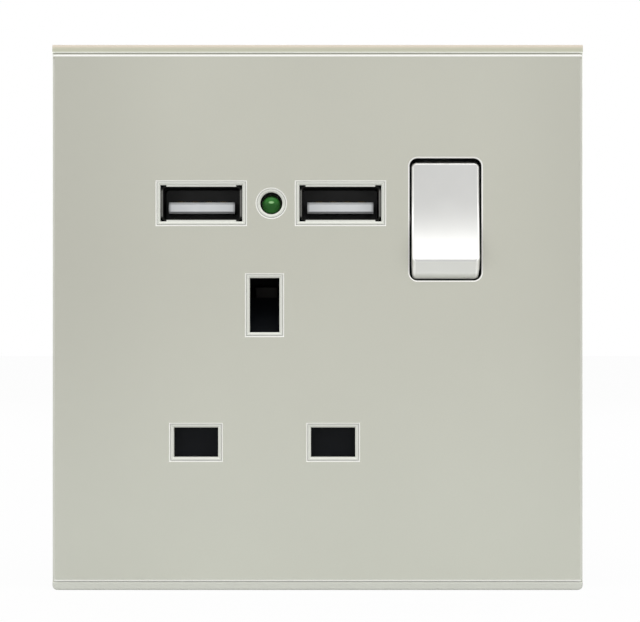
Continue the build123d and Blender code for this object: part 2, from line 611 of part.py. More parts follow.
# Rear housing: a box behind the moulding, with posts, ribs, wire windows and screw ears
with BuildPart() as rear_housing:
    with BuildSketch(level(-HOUSING_DEPTH)):
        with Locations((HOUSING_X, HOUSING_Z)):
            RectangleRounded(HOUSING_WIDTH, HOUSING_HEIGHT, HOUSING_CORNER)
    extrude(amount=HOUSING_DEPTH + PLATEAU_BACK)
    chamfer(rear_housing.edges().group_by(Axis.Y)[-1], HOUSING_WALL / 2)
    with BuildSketch(level(CAVITY_BACK)):
        with Locations((HOUSING_X, HOUSING_Z)):
            RectangleRounded(
                HOUSING_WIDTH - 2 * HOUSING_WALL,
                HOUSING_HEIGHT - 2 * HOUSING_WALL,
                HOUSING_CORNER - HOUSING_WALL,
            )
        with Locations(*FIXINGS):
            Circle(SCALLOP_RADIUS + SCALLOP_WALL, mode=Mode.SUBTRACT)
    extrude(amount=PLATEAU_BACK - CAVITY_BACK, mode=Mode.SUBTRACT)
    with BuildSketch(level(-HOUSING_DEPTH)):
        with Locations(*FIXINGS):
            Circle(SCALLOP_RADIUS)
    extrude(amount=HOUSING_DEPTH + PLATEAU_BACK, mode=Mode.SUBTRACT)
    with BuildSketch(level(FIXING_FLOOR_LEVEL - FIXING_FLOOR - WELL_FIT)):
        with Locations(*FIXINGS):
            Circle(FIXING_WELL_RADIUS + FIXING_WELL_WALL + WELL_FIT)
    extrude(amount=PLATEAU_BACK - FIXING_FLOOR_LEVEL + FIXING_FLOOR + WELL_FIT, mode=Mode.SUBTRACT)
    # Screw ears at the sides
    with BuildSketch(level(RIM_BACK - EAR_THICKNESS)):
        for side in (-1, 1):
            for z in (-EAR_Z, EAR_Z):
                with Locations((side * (SKIRT_INNER_X - EAR_FIT), z)):
                    Rectangle(
                        SKIRT_INNER_X - EAR_FIT - HOUSING_WIDTH / 2 - side * HOUSING_X + HOUSING_WALL / 2,
                        EAR_WIDTH,
                        align=(Align.MAX if side > 0 else Align.MIN, Align.CENTER),
                    )
    extrude(amount=EAR_THICKNESS)
    with BuildSketch(level(RIM_BACK - EAR_THICKNESS)):
        with Locations(*EARS):
            Circle(HOUSING_SCREW_RADIUS + WELL_FIT)
    extrude(amount=EAR_THICKNESS, mode=Mode.SUBTRACT)
    # Wire windows in the bottom wall and screw holes in the back
    with BuildSketch(across(HOUSING_BOTTOM + HOUSING_WALL)):
        for x, _ in TERMINALS:
            with Locations((x, WIRE_LEVEL)):
                RectangleRounded(WIRE_WINDOW, WIRE_WINDOW, WIRE_WINDOW_CORNER)
    extrude(amount=HOUSING_WALL, mode=Mode.SUBTRACT)
    with BuildSketch(level(-HOUSING_DEPTH)):
        with Locations(*TERMINALS):
            Circle(TERMINAL_ACCESS_RADIUS)
    extrude(amount=HOUSING_WALL, mode=Mode.SUBTRACT)
    # Notch in the bottom wall that the shutter slides through
    with BuildSketch(level(SHUTTER_BACK - SHUTTER_GAP)):
        with Locations((SOCKET_X, HOUSING_BOTTOM)):
            Rectangle(SHUTTER_BAR_WIDTH + 2 * SHUTTER_GAP, HOUSING_WALL, align=(Align.CENTER, Align.MIN))
    extrude(amount=PLATEAU_BACK - SHUTTER_BACK + SHUTTER_GAP, mode=Mode.SUBTRACT)
    # Ribs and pedestals under the switch frame, the strips and the clips
    with BuildSketch(level(CAVITY_BACK)):
        with Locations((ROCKER_X, ROCKER_Z)):
            with GridLocations((WELL_WIDTH - WELL_WALL) / 2, 0, 3, 1):
                Rectangle(RIB_THICKNESS, WELL_HEIGHT)
        for x, z in ((LINE_X, PIN_ROW_Z), (SOCKET_X, EARTH_Z)):
            with Locations((x, z)):
                Rectangle(PEDESTAL_SIZE, RIB_THICKNESS)
                Rectangle(RIB_THICKNESS, PEDESTAL_SIZE)
        with Locations((BUS_X, PIN_ROW_Z / 2)):
            Rectangle(BUS_WIDTH, RIB_THICKNESS)
    extrude(amount=TERMINAL_DEPTH)
    # Posts with pins for the charger board
    with BuildSketch(level(CAVITY_BACK)):
        with Locations(*BOARD_POSTS):
            Circle(BOARD_POST_RADIUS)
    extrude(amount=BOARD_BACK - CAVITY_BACK)
    with BuildSketch(level(BOARD_BACK)):
        with Locations(*BOARD_POSTS):
            Circle(BOARD_PIN_RADIUS)
    extrude(amount=BOARD_THICKNESS)

# Black switch frame: an open tube that the rocker tilts in
with BuildPart() as switch_frame:
    with BuildSketch(level(BUS_LEVEL)):
        with Locations((ROCKER_X, ROCKER_Z)):
            Rectangle(WELL_WIDTH, WELL_HEIGHT)
            Rectangle(WELL_INNER_WIDTH, WELL_INNER_HEIGHT, mode=Mode.SUBTRACT)
    extrude(amount=PLATEAU_LEVEL - BUS_LEVEL)
    with BuildSketch(level(PLATEAU_BACK - WELL_TAB_THICKNESS)):
        for side in (-1, 1):
            with Locations((ROCKER_X, ROCKER_Z + side * WELL_HEIGHT / 2)):
                Rectangle(WELL_TAB_WIDTH, WELL_TAB, align=(
                    Align.CENTER, Align.MIN if side > 0 else Align.MAX))
    extrude(amount=WELL_TAB_THICKNESS)
    with BuildSketch(section(ROCKER_X)):
        with Locations((ROCKER_Z, ROCKER_PIVOT)):
            Circle(TRUNNION_RADIUS + TRUNNION_FIT)
    extrude(amount=WELL_WIDTH / 2, both=True, mode=Mode.SUBTRACT)
    # Notches for the strips that enter below and at the left
    with BuildSketch(level(BUS_LEVEL)):
        with Locations((ROCKER_X, ROCKER_Z - WELL_HEIGHT / 2)):
            Rectangle(STRIP_WIDTH + 2 * WELL_FIT, 2 * WELL_WALL)
        with Locations((ROCKER_X - WELL_WIDTH / 2, FIXED_Z)):
            Rectangle(2 * WELL_WALL, BUS_WIDTH + 2 * WELL_FIT)
    extrude(amount=STRIP + WELL_FIT, mode=Mode.SUBTRACT)

# Rocker, hollow behind its dished face, with trunnions and a bore for the plunger
with BuildPart() as rocker:
    with BuildSketch(tilted(ROCKER_X, ROCKER_PIVOT, TILT)):
        with BuildLine():
            ThreePointArc(
                (-ROCKER_FACE_HALF, ROCKER_FACE_RISE),
                (0, ROCKER_FACE_RISE - ROCKER_FACE_SAG),
                (ROCKER_FACE_HALF, ROCKER_FACE_RISE),
            )
            Polyline(
                (ROCKER_FACE_HALF, ROCKER_FACE_RISE),
                (NOSE_U, NOSE_V),
                (HEEL_U, HEEL_V),
                (HEEL_U - ROCKER_NOSE_GAP, ROCKER_SKIRT),
                (ROCKER_NOSE_GAP - HEEL_U, ROCKER_SKIRT),
                (-HEEL_U, HEEL_V),
                (-NOSE_U, NOSE_V),
                (-ROCKER_FACE_HALF, ROCKER_FACE_RISE),
            )
        make_face()
    extrude(amount=ROCKER_WIDTH / 2, both=True)
    rocker_plane = tilted(ROCKER_X, ROCKER_PIVOT, TILT)
    end_edges = rocker.edges().filter_by(Axis.X, reverse=True).filter_by(
        lambda edge: abs(rocker_plane.to_local_coords(edge.center()).X) > ROCKER_FACE_HALF
    )
    fillet(end_edges, ROCKER_CORNER)
    dish = rocker.faces().sort_by(lambda face: rocker_plane.to_local_coords(face.center()).Y)[-1]
    fillet(dish.edges(), ROCKER_EDGE_ROUND)
    with BuildSketch(tilted(ROCKER_X, ROCKER_PIVOT, TILT)):
        with Locations((0, ROCKER_SKIRT)):
            Rectangle(
                2 * (ROCKER_FACE_HALF - ROCKER_WALL),
                ROCKER_FACE_RISE - ROCKER_FACE_SAG - ROCKER_WALL - ROCKER_SKIRT,
                align=(Align.CENTER, Align.MIN),
            )
    extrude(amount=ROCKER_WIDTH / 2 - ROCKER_WALL, both=True, mode=Mode.SUBTRACT)
    # Cheeks that carry the trunnions
    for side in (-1, 1):
        with BuildSketch(tilted(ROCKER_X + side * (ROCKER_WIDTH / 2), ROCKER_PIVOT, TILT)):
            with BuildLine():
                Polyline(
                    (-2 * TRUNNION_RADIUS, ROCKER_SKIRT),
                    (-TRUNNION_RADIUS, -TRUNNION_RADIUS),
                    (TRUNNION_RADIUS, -TRUNNION_RADIUS),
                    (2 * TRUNNION_RADIUS, ROCKER_SKIRT),
                    close=True,
                )
            make_face()
        extrude(amount=-side * ROCKER_WALL)
    with BuildSketch(tilted(ROCKER_X, ROCKER_PIVOT, TILT)):
        Circle(TRUNNION_RADIUS)
    extrude(amount=WELL_WIDTH / 2 - TRUNNION_FIT, both=True)
    with BuildSketch(tilted(ROCKER_X, ROCKER_PIVOT, TILT)):
        with Locations((0, ROCKER_SKIRT)):
            Rectangle(
                4 * TRUNNION_RADIUS,
                ROCKER_SKIRT + 2 * TRUNNION_RADIUS,
                align=(Align.CENTER, Align.MAX),
            )
    extrude(amount=ROCKER_WIDTH / 2 - ROCKER_WALL, both=True, mode=Mode.SUBTRACT)
    # Plunger boss
    plunger_axis = Plane(
        origin=(ROCKER_X, -ROCKER_PIVOT, ROCKER_Z), x_dir=(1, 0, 0), z_dir=(0, -cos(TILT), sin(TILT))
    )
    with BuildSketch(plunger_axis.offset(-PLUNGER_BOSS_END)):
        Circle(PLUNGER_RADIUS + PLUNGER_FIT + PLUNGER_BOSS_WALL)
    extrude(amount=PLUNGER_BOSS_END + ROCKER_FACE_RISE - ROCKER_FACE_SAG - ROCKER_WALL / 2)
    with BuildSketch(plunger_axis.offset(-PLUNGER_BOSS_END)):
        Circle(PLUNGER_RADIUS + PLUNGER_FIT)
    extrude(amount=PLUNGER_BOSS_END + PLUNGER_BORE_TOP, mode=Mode.SUBTRACT)

# Plunger with a round tip, and its spring
with BuildPart() as rocker_plunger:
    with BuildSketch(plunger_axis.offset(-PLUNGER_REACH + PLUNGER_RADIUS)):
        Circle(PLUNGER_RADIUS)
    extrude(amount=PLUNGER_REACH - PLUNGER_RADIUS + PLUNGER_TAIL)
    with BuildSketch(tilted(ROCKER_X, ROCKER_PIVOT, TILT)):
        with BuildLine():
            centre = -PLUNGER_REACH + PLUNGER_RADIUS
            RadiusArc((0, -PLUNGER_REACH), (PLUNGER_RADIUS, centre), -PLUNGER_RADIUS)
            Polyline((PLUNGER_RADIUS, centre), (0, centre), (0, -PLUNGER_REACH))
        make_face()
    revolve(axis=Axis(plunger_axis.origin, plunger_axis.z_dir))

plunger_spring = coil(
    plunger_axis.offset(PLUNGER_TAIL + PLUNGER_SPRING_WIRE / 2).origin,
    plunger_axis.z_dir,
    PLUNGER_BORE_TOP - PLUNGER_TAIL - PLUNGER_SPRING_WIRE,
    PLUNGER_RADIUS - PLUNGER_SPRING_WIRE,
    PLUNGER_SPRING_WIRE,
    PLUNGER_SPRING_TURNS,
)

# Seesaw contact on its knife-edge tabs, with a silver tip
with BuildPart() as moving_contact:
    with BuildSketch(tilted(ROCKER_X, SEESAW_PIVOT, -SEESAW)):
        Rectangle(SEESAW_LENGTH, SEESAW_THICKNESS)
    extrude(amount=SEESAW_WIDTH / 2, both=True)
    with BuildSketch(tilted(ROCKER_X, SEESAW_PIVOT, -SEESAW)):
        Circle(SEESAW_THICKNESS / 2)
    extrude(amount=SEESAW_WIDTH / 2 + SEESAW_TAB_REACH, both=True)

seesaw_back = Plane(
    origin=(ROCKER_X, -SEESAW_PIVOT, ROCKER_Z),
    x_dir=(0, -sin(SEESAW), cos(SEESAW)),
    z_dir=(0, cos(SEESAW), sin(SEESAW)),
).offset(SEESAW_THICKNESS / 2)
with BuildPart() as moving_contact_tip:
    with BuildSketch(seesaw_back):
        with Locations((SEESAW_CONTACT, 0)):
            Circle(CONTACT_RADIUS)
    extrude(amount=CONTACT_HEIGHT)

# Strip with a fork that carries the seesaw and runs down to the line terminal
with BuildPart() as switch_pivot:
    with BuildSketch(level(BUS_LEVEL)):
        with Locations((ROCKER_X, ROCKER_Z + PRONG_LENGTH / 2)):
            Rectangle(
                STRIP_WIDTH,
                ROCKER_Z + PRONG_LENGTH / 2 - PIN_ROW_Z + TERMINAL_SIZE / 2,
                align=(Align.CENTER, Align.MAX),
            )
            Rectangle(2 * (PRONG_X + STRIP), PRONG_LENGTH, align=(Align.CENTER, Align.MAX))
    extrude(amount=STRIP)
    for side in (-1, 1):
        with BuildSketch(section(ROCKER_X + side * PRONG_X)):
            with Locations((ROCKER_Z, BUS_LEVEL)):
                Rectangle(
                    PRONG_LENGTH,
                    SEESAW_PIVOT + SEESAW_THICKNESS - BUS_LEVEL,
                    align=(Align.CENTER, Align.MIN),
                )
            with Locations((ROCKER_Z, SEESAW_PIVOT)):
                Circle(SEESAW_THICKNESS / 2 + SEESAW_NOTCH_FIT, mode=Mode.SUBTRACT)
                Rectangle(
                    SEESAW_THICKNESS + 2 * SEESAW_NOTCH_FIT,
                    2 * SEESAW_THICKNESS,
                    align=(Align.CENTER, Align.MIN),
                    mode=Mode.SUBTRACT,
                )
        extrude(amount=side * STRIP)

# Line contact: pin clip, strip past the switch and the stand of the fixed contact
with BuildPart() as line_contact:
    with BuildSketch(section(LINE_X)):
        with BuildLine():
            FilletPolyline(*clip_outline(PIN_ROW_Z, CLIP_LEVEL), radius=CLIP_BEND)
        trace(line_width=STRIP)
    extrude(amount=CLIP_WIDTH / 2, both=True)
    with BuildSketch(level(BUS_LEVEL)):
        with Locations((LINE_X, PIN_ROW_Z)):
            Rectangle(BUS_X + BUS_WIDTH / 2 - LINE_X, BUS_WIDTH, align=(Align.MIN, Align.CENTER))
        with Locations((BUS_X, PIN_ROW_Z - BUS_WIDTH / 2)):
            Rectangle(BUS_WIDTH, FIXED_Z + BUS_WIDTH - PIN_ROW_Z, align=(Align.CENTER, Align.MIN))
        with Locations((BUS_X - BUS_WIDTH / 2, FIXED_Z)):
            Rectangle(
                STAND_X + STRIP / 2 - BUS_X + BUS_WIDTH / 2, BUS_WIDTH, align=(Align.MIN, Align.CENTER)
            )
    extrude(amount=STRIP)
    with BuildSketch(across(FIXED_Z + BUS_WIDTH / 2)):
        with BuildLine():
            FilletPolyline(
                (STAND_X, BUS_LEVEL + STRIP / 2),
                (STAND_X, STAND_LEVEL - STRIP / 2),
                (ROCKER_X - CONTACT_RADIUS, STAND_LEVEL - STRIP / 2),
                radius=CLIP_BEND,
            )
        trace(line_width=STRIP)
    extrude(amount=BUS_WIDTH)

with BuildPart() as fixed_contact_tip:
    with BuildSketch(level(STAND_LEVEL)):
        with Locations((ROCKER_X, FIXED_Z)):
            Circle(CONTACT_RADIUS)
    extrude(amount=CONTACT_HEIGHT)

# Neutral clip, seated on its terminal
with BuildPart() as neutral_contact:
    with BuildSketch(section(NEUTRAL_X)):
        with BuildLine():
            FilletPolyline(*clip_outline(PIN_ROW_Z, CLIP_LEVEL), radius=CLIP_BEND)
        trace(line_width=STRIP)
    extrude(amount=CLIP_WIDTH / 2, both=True)

# Earth clip with a strip down to its terminal
with BuildPart() as earth_contact:
    with BuildSketch(across(EARTH_Z + CLIP_WIDTH / 2)):
        with BuildLine():
            FilletPolyline(*clip_outline(SOCKET_X, EARTH_CLIP_LEVEL), radius=CLIP_BEND)
        trace(line_width=STRIP)
    extrude(amount=CLIP_WIDTH)
    with BuildSketch(level(BUS_LEVEL)):
        with Locations((SOCKET_X, EARTH_Z)):
            Rectangle(BUS_WIDTH, PIN_PITCH + TERMINAL_SIZE / 2, align=(Align.CENTER, Align.MAX))
    extrude(amount=STRIP)


def terminal(x, z):
    """Brass block with a wire hole from below and a screw hole from behind."""
    with BuildPart() as block:
        with BuildSketch(level(CAVITY_BACK)):
            with Locations((x, z)):
                Rectangle(TERMINAL_SIZE, TERMINAL_SIZE)
        extrude(amount=TERMINAL_DEPTH)
        chamfer(block.edges().filter_by(Axis.Y), TERMINAL_BEVEL)
        with BuildSketch(across(z + TERMINAL_SIZE / 2)):
            with Locations((x, WIRE_LEVEL)):
                Circle(WIRE_RADIUS)
        extrude(amount=TERMINAL_SIZE, mode=Mode.SUBTRACT)
        with BuildSketch(level(CAVITY_BACK)):
            with Locations((x, z)):
                Circle(TERMINAL_SCREW_RADIUS + TERMINAL_SCREW_FIT)
        extrude(amount=WIRE_LEVEL - CAVITY_BACK, mode=Mode.SUBTRACT)
    return block


line_terminal, neutral_terminal, earth_terminal = (terminal(x, z) for x, z in TERMINALS)

with BuildPart() as terminal_screws:
    with BuildSketch(level(CAVITY_BACK)):
        with Locations(*TERMINALS):
            Circle(TERMINAL_SCREW_RADIUS)
    extrude(amount=WIRE_LEVEL - WIRE_RADIUS - TERMINAL_SCREW_GAP - CAVITY_BACK)
    with BuildSketch(level(CAVITY_BACK - TERMINAL_HEAD_HEIGHT)):
        with Locations(*TERMINALS):
            Circle(TERMINAL_HEAD_RADIUS)
    extrude(amount=TERMINAL_HEAD_HEIGHT)
    with BuildSketch(level(CAVITY_BACK - TERMINAL_HEAD_HEIGHT)):
        with Locations(*TERMINALS):
            Rectangle(2 * TERMINAL_HEAD_RADIUS, SCREW_SLOT_WIDTH)
    extrude(amount=SCREW_SLOT_DEPTH, mode=Mode.SUBTRACT)

with BuildPart() as fixing_screws:
    with BuildSketch(level(-FIXING_LENGTH)):
        with Locations(*FIXINGS):
            Circle(FIXING_THREAD_RADIUS)
    extrude(amount=FIXING_LENGTH)
    chamfer(fixing_screws.edges().group_by(Axis.Y)[-1], FIXING_TIP_BEVEL)
    with BuildSketch(level(0)):
        with Locations(*FIXINGS):
            Circle(FIXING_NECK_RADIUS)
    extrude(amount=FIXING_FLOOR_LEVEL)
    with BuildSketch(level(FIXING_FLOOR_LEVEL)):
        with Locations(*FIXINGS):
            Circle(FIXING_HEAD_RADIUS)
    extrude(amount=FIXING_HEAD_HEIGHT)
    chamfer(fixing_screws.edges().group_by(Axis.Y)[0], FIXING_HEAD_BEVEL)
    with BuildSketch(level(FIXING_FLOOR_LEVEL + FIXING_HEAD_HEIGHT - SCREW_SLOT_DEPTH)):
        with Locations(*FIXINGS):
            Rectangle(2 * FIXING_HEAD_RADIUS, SCREW_SLOT_WIDTH)
    extrude(amount=SCREW_SLOT_DEPTH, mode=Mode.SUBTRACT)

with BuildPart() as housing_screws:
    with BuildSketch(level(RIM_BACK - EAR_THICKNESS - HOUSING_SCREW_HEAD_HEIGHT)):
        with Locations(*EARS):
            Circle(HOUSING_SCREW_HEAD)
    extrude(amount=HOUSING_SCREW_HEAD_HEIGHT)
    with BuildSketch(level(RIM_BACK - EAR_THICKNESS)):
        with Locations(*EARS):
            Circle(HOUSING_SCREW_RADIUS - HOUSING_SCREW_FIT)
    extrude(amount=EAR_THICKNESS + HOUSING_SCREW_BITE - HOUSING_SCREW_FIT)
    with BuildSketch(level(RIM_BACK - EAR_THICKNESS - HOUSING_SCREW_HEAD_HEIGHT)):
        with Locations(*EARS):
            Rectangle(2 * HOUSING_SCREW_HEAD, SCREW_SLOT_WIDTH)
            Rectangle(SCREW_SLOT_WIDTH, 2 * HOUSING_SCREW_HEAD)
    extrude(amount=SCREW_SLOT_DEPTH, mode=Mode.SUBTRACT)

# Safety shutter: a bar over the lower holes, a slotted stem and a ramp that the earth pin pushes
with BuildPart() as shutter:
    with BuildSketch(level(SHUTTER_BACK)):
        with Locations((SOCKET_X, PIN_ROW_Z)):
            Rectangle(SHUTTER_BAR_WIDTH, SHUTTER_BAR_HEIGHT)
        with Locations((SOCKET_X, RAMP_BOTTOM)):
            Rectangle(SHUTTER_STEM_WIDTH, RAMP_BOTTOM - PIN_ROW_Z, align=(Align.CENTER, Align.MAX))
        with Locations((SOCKET_X, SHUTTER_SLOT_TOP)):
            Rectangle(SHUTTER_SLOT_WIDTH, PIN_PITCH, align=(Align.CENTER, Align.MAX), mode=Mode.SUBTRACT)
    extrude(amount=SHUTTER_THICKNESS)
    with BuildSketch(section(SOCKET_X)):
        with BuildLine():
            Polyline(
                (RAMP_BOTTOM - SHUTTER_THICKNESS, SHUTTER_LEVEL),
                (RAMP_BOTTOM, SHUTTER_LEVEL),
                (RAMP_END, SHUTTER_LEVEL - SHUTTER_RAMP),
                (RAMP_END - SHUTTER_THICKNESS / 2, SHUTTER_LEVEL - SHUTTER_RAMP - SHUTTER_THICKNESS / 2),
                (RAMP_BOTTOM - SHUTTER_THICKNESS, SHUTTER_BACK),
                close=True,
            )
        make_face()
    extrude(amount=SHUTTER_RAMP_WIDTH / 2, both=True)

shutter_spring = coil(
    (SOCKET_X, -SPRING_LEVEL, SPRING_POST_Z + SHUTTER_SPRING_WIRE / 2),
    (0, 0, 1),
    SHUTTER_SLOT_TOP - SPRING_POST_Z - SHUTTER_SPRING_WIRE,
    SHUTTER_SPRING_RADIUS,
    SHUTTER_SPRING_WIRE,
    SHUTTER_SPRING_TURNS,
)


def usb_shell(x):
    """Folded metal sleeve of one USB port."""
    with BuildPart() as shell:
        with BuildSketch(level(BOARD_LEVEL)):
            with Locations((x, USB_Z)):
                RectangleRounded(SHELL_WIDTH, SHELL_HEIGHT, SHELL_CORNER + SHELL_WALL)
                RectangleRounded(SHELL_INNER_WIDTH, SHELL_INNER_HEIGHT, SHELL_CORNER, mode=Mode.SUBTRACT)
        extrude(amount=SHELL_LEVEL - BOARD_LEVEL)
    return shell


def usb_tongue(x):
    """Insulating tongue of one USB port, with the block at its root."""
    with BuildPart() as tongue:
        with BuildSketch(level(TONGUE_BASE)):
            with Locations((x, USB_Z - TONGUE_DROP)):
                Rectangle(TONGUE_WIDTH, TONGUE_THICKNESS)
        extrude(amount=TONGUE_LEVEL - TONGUE_BASE)
        chamfer(tongue.edges().group_by(Axis.Y)[0].filter_by(Axis.X), TONGUE_BEVEL)
        with BuildSketch(level(BOARD_LEVEL)):
            with Locations((x, USB_Z)):
                RectangleRounded(
                    SHELL_INNER_WIDTH - 2 * SHELL_FIT, SHELL_INNER_HEIGHT - 2 * SHELL_FIT, SHELL_CORNER
                )
        extrude(amount=TONGUE_ROOT)
    return tongue


def usb_contacts(x):
    """Four flat contacts lying on the upper face of one tongue."""
    with BuildPart() as contacts:
        with BuildSketch(across(USB_Z - TONGUE_DROP + TONGUE_THICKNESS / 2 + USB_STRIP_THICKNESS)):
            with Locations((x, TONGUE_BASE)):
                with GridLocations(USB_STRIP_PITCH, 0, USB_STRIP_COUNT, 1):
                    Rectangle(
                        USB_STRIP_WIDTH,
                        TONGUE_LEVEL - USB_STRIP_SETBACK - TONGUE_BASE,
                        align=(Align.CENTER, Align.MIN),
                    )
        extrude(amount=USB_STRIP_THICKNESS)
    return contacts


usb_shell_left, usb_shell_right = (usb_shell(x) for x in USB_CENTRES)
usb_tongue_left, usb_tongue_right = (usb_tongue(x) for x in USB_CENTRES)
usb_contacts_left, usb_contacts_right = (usb_contacts(x) for x in USB_CENTRES)

# Indicator lamp: a domed lens with a flange, on two leads
with BuildPart() as indicator_led:
    with BuildSketch(level(LAMP_BASE)):
        with Locations((LAMP_X, LAMP_Z)):
            Circle(LAMP_RADIUS)
    extrude(amount=LAMP_LENGTH)
    fillet(indicator_led.edges().group_by(Axis.Y)[0], LAMP_ROUND)
    with BuildSketch(level(LAMP_BASE)):
        with Locations((LAMP_X, LAMP_Z)):
            Circle(LAMP_RADIUS + LAMP_FLANGE)
    extrude(amount=PLATEAU_BACK - LAMP_BASE)

with BuildPart() as led_leads:
    with BuildSketch(level(BOARD_LEVEL)):
        for side in (-1, 1):
            with Locations((LAMP_X + side * LAMP_LEAD_PITCH / 2, LAMP_Z)):
                Rectangle(LAMP_LEAD, LAMP_LEAD)
    extrude(amount=LAMP_BASE - BOARD_LEVEL)

# Charger board and its main components, all behind it
with BuildPart() as charger_board:
    with BuildSketch(level(BOARD_BACK)):
        with Locations((BOARD_LEFT, BOARD_BOTTOM)):
            Rectangle(BOARD_RIGHT - BOARD_LEFT, BOARD_TOP - BOARD_BOTTOM, align=(Align.MIN, Align.MIN))
        with Locations(*BOARD_POSTS):
            Circle(BOARD_PIN_RADIUS + BOARD_PIN_FIT, mode=Mode.SUBTRACT)
    extrude(amount=BOARD_THICKNESS)

with BuildPart() as transformer_core:
    with BuildSketch(across(USB_Z + CORE_HEIGHT / 2)):
        with Locations((CORE_X, BOARD_BACK - CORE_DEPTH / 2)):
            Rectangle(CORE_WIDTH, CORE_DEPTH)
            Rectangle(CORE_WIDTH - 2 * CORE_LIMB, CORE_DEPTH - 2 * CORE_LIMB, mode=Mode.SUBTRACT)
            Rectangle(CORE_MIDDLE_LIMB, CORE_DEPTH)
    extrude(amount=CORE_HEIGHT)

with BuildPart() as transformer_winding:
    with BuildSketch(level(BOARD_BACK - CORE_DEPTH + CORE_LIMB + WINDING_FIT)):
        with Locations((CORE_X, USB_Z)):
            RectangleRounded(
                CORE_MIDDLE_LIMB + 2 * WINDING_FIT + 2 * WINDING_BUILD,
                CORE_HEIGHT + 2 * WINDING_FIT + 2 * WINDING_BUILD,
                WINDING_BUILD / 2,
            )
            Rectangle(CORE_MIDDLE_LIMB + 2 * WINDING_FIT, CORE_HEIGHT + 2 * WINDING_FIT, mode=Mode.SUBTRACT)
    extrude(amount=CORE_DEPTH - 2 * CORE_LIMB - 2 * WINDING_FIT)

with BuildPart() as bulk_capacitors:
    with BuildSketch(level(BOARD_BACK - BULK_LENGTH)):
        for side in (-1, 1):
            with Locations((BULK_X, USB_Z + side * BULK_SPACING / 2)):
                Circle(BULK_RADIUS)
    extrude(amount=BULK_LENGTH)
    fillet(bulk_capacitors.edges().group_by(Axis.Y)[-1], CAN_ROUND)

with BuildPart() as output_capacitor:
    with BuildSketch(level(BOARD_BACK - OUTPUT_LENGTH)):
        with Locations((OUTPUT_X, OUTPUT_Z)):
            Circle(OUTPUT_RADIUS)
    extrude(amount=OUTPUT_LENGTH)
    fillet(output_capacitor.edges().group_by(Axis.Y)[-1], CAN_ROUND)

with BuildPart() as bridge_rectifier:
    with BuildSketch(level(BOARD_BACK - RECTIFIER_DEPTH)):
        with Locations((RECTIFIER_X, RECTIFIER_Z)):
            Rectangle(RECTIFIER_SIZE, RECTIFIER_SIZE)
    extrude(amount=RECTIFIER_DEPTH)
    chamfer(bridge_rectifier.edges().group_by(Axis.Y)[-1], CHIP_BEVEL)

with BuildPart() as control_chip:
    with BuildSketch(level(BOARD_BACK - CHIP_DEPTH)):
        with Locations((CHIP_X, CHIP_Z)):
            Rectangle(CHIP_WIDTH, CHIP_HEIGHT)
    extrude(amount=CHIP_DEPTH)
    chamfer(control_chip.edges().group_by(Axis.Y)[-1], CHIP_BEVEL)

# Insulated leads from the board to the neutral and line terminals
with BuildPart() as charger_leads:
    terminal_top = PIN_ROW_Z + TERMINAL_SIZE / 2
    lead_start = BOARD_BOTTOM + LEAD_INSET
    neutral_lead_x = NEUTRAL_X - NEUTRAL_LEAD_INSET
    line_end_x = ROCKER_X - LINE_LEAD_INSET
    routes = [
        [
            (neutral_lead_x, -BOARD_BACK, lead_start),
            (neutral_lead_x, -LEAD_LEVEL, lead_start),
            (neutral_lead_x, -LEAD_LEVEL, terminal_top),
        ],
        [
            (LINE_LEAD_X, -BOARD_BACK, lead_start),
            (LINE_LEAD_X, -LEAD_LEVEL, lead_start),
            (line_end_x, -LEAD_LEVEL, terminal_top + LEAD_DROP),
            (line_end_x, -LEAD_LEVEL, terminal_top),
        ],
    ]
    for route in routes:
        with BuildLine() as path:
            FilletPolyline(*route, radius=LEAD_BEND)
        with BuildSketch(Plane(origin=path.line @ 0, z_dir=path.line % 0)):
            Circle(LEAD_RADIUS)
        sweep(path=path.line)

pieces = {
    "front_panel": front_panel,
    "outer_frame": outer_frame,
    "socket_front": socket_front,
    "rear_housing": rear_housing,
    "switch_frame": switch_frame,
    "rocker": rocker,
    "rocker_plunger": rocker_plunger,
    "plunger_spring": plunger_spring,
    "moving_contact": moving_contact,
    "moving_contact_tip": moving_contact_tip,
    "switch_pivot": switch_pivot,
    "line_contact": line_contact,
    "fixed_contact_tip": fixed_contact_tip,
    "neutral_contact": neutral_contact,
    "earth_contact": earth_contact,
    "line_terminal": line_terminal,
    "neutral_terminal": neutral_terminal,
    "earth_terminal": earth_terminal,
    "terminal_screws": terminal_screws,
    "fixing_screws": fixing_screws,
    "housing_screws": housing_screws,
    "shutter": shutter,
    "shutter_spring": shutter_spring,
    "usb_shell_left": usb_shell_left,
    "usb_shell_right": usb_shell_right,
    "usb_tongue_left": usb_tongue_left,
    "usb_tongue_right": usb_tongue_right,
    "usb_contacts_left": usb_contacts_left,
    "usb_contacts_right": usb_contacts_right,
    "indicator_led": indicator_led,
    "led_leads": led_leads,
    "charger_board": charger_board,
    "transformer_core": transformer_core,
    "transformer_winding": transformer_winding,
    "bulk_capacitors": bulk_capacitors,
    "output_capacitor": output_capacitor,
    "bridge_rectifier": bridge_rectifier,
    "control_chip": control_chip,
    "charger_leads": charger_leads,
}
for name, piece in pieces.items():
    piece.part.label = name
    export_step(piece.part, f"parts/{name}.step")
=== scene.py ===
import json
import math

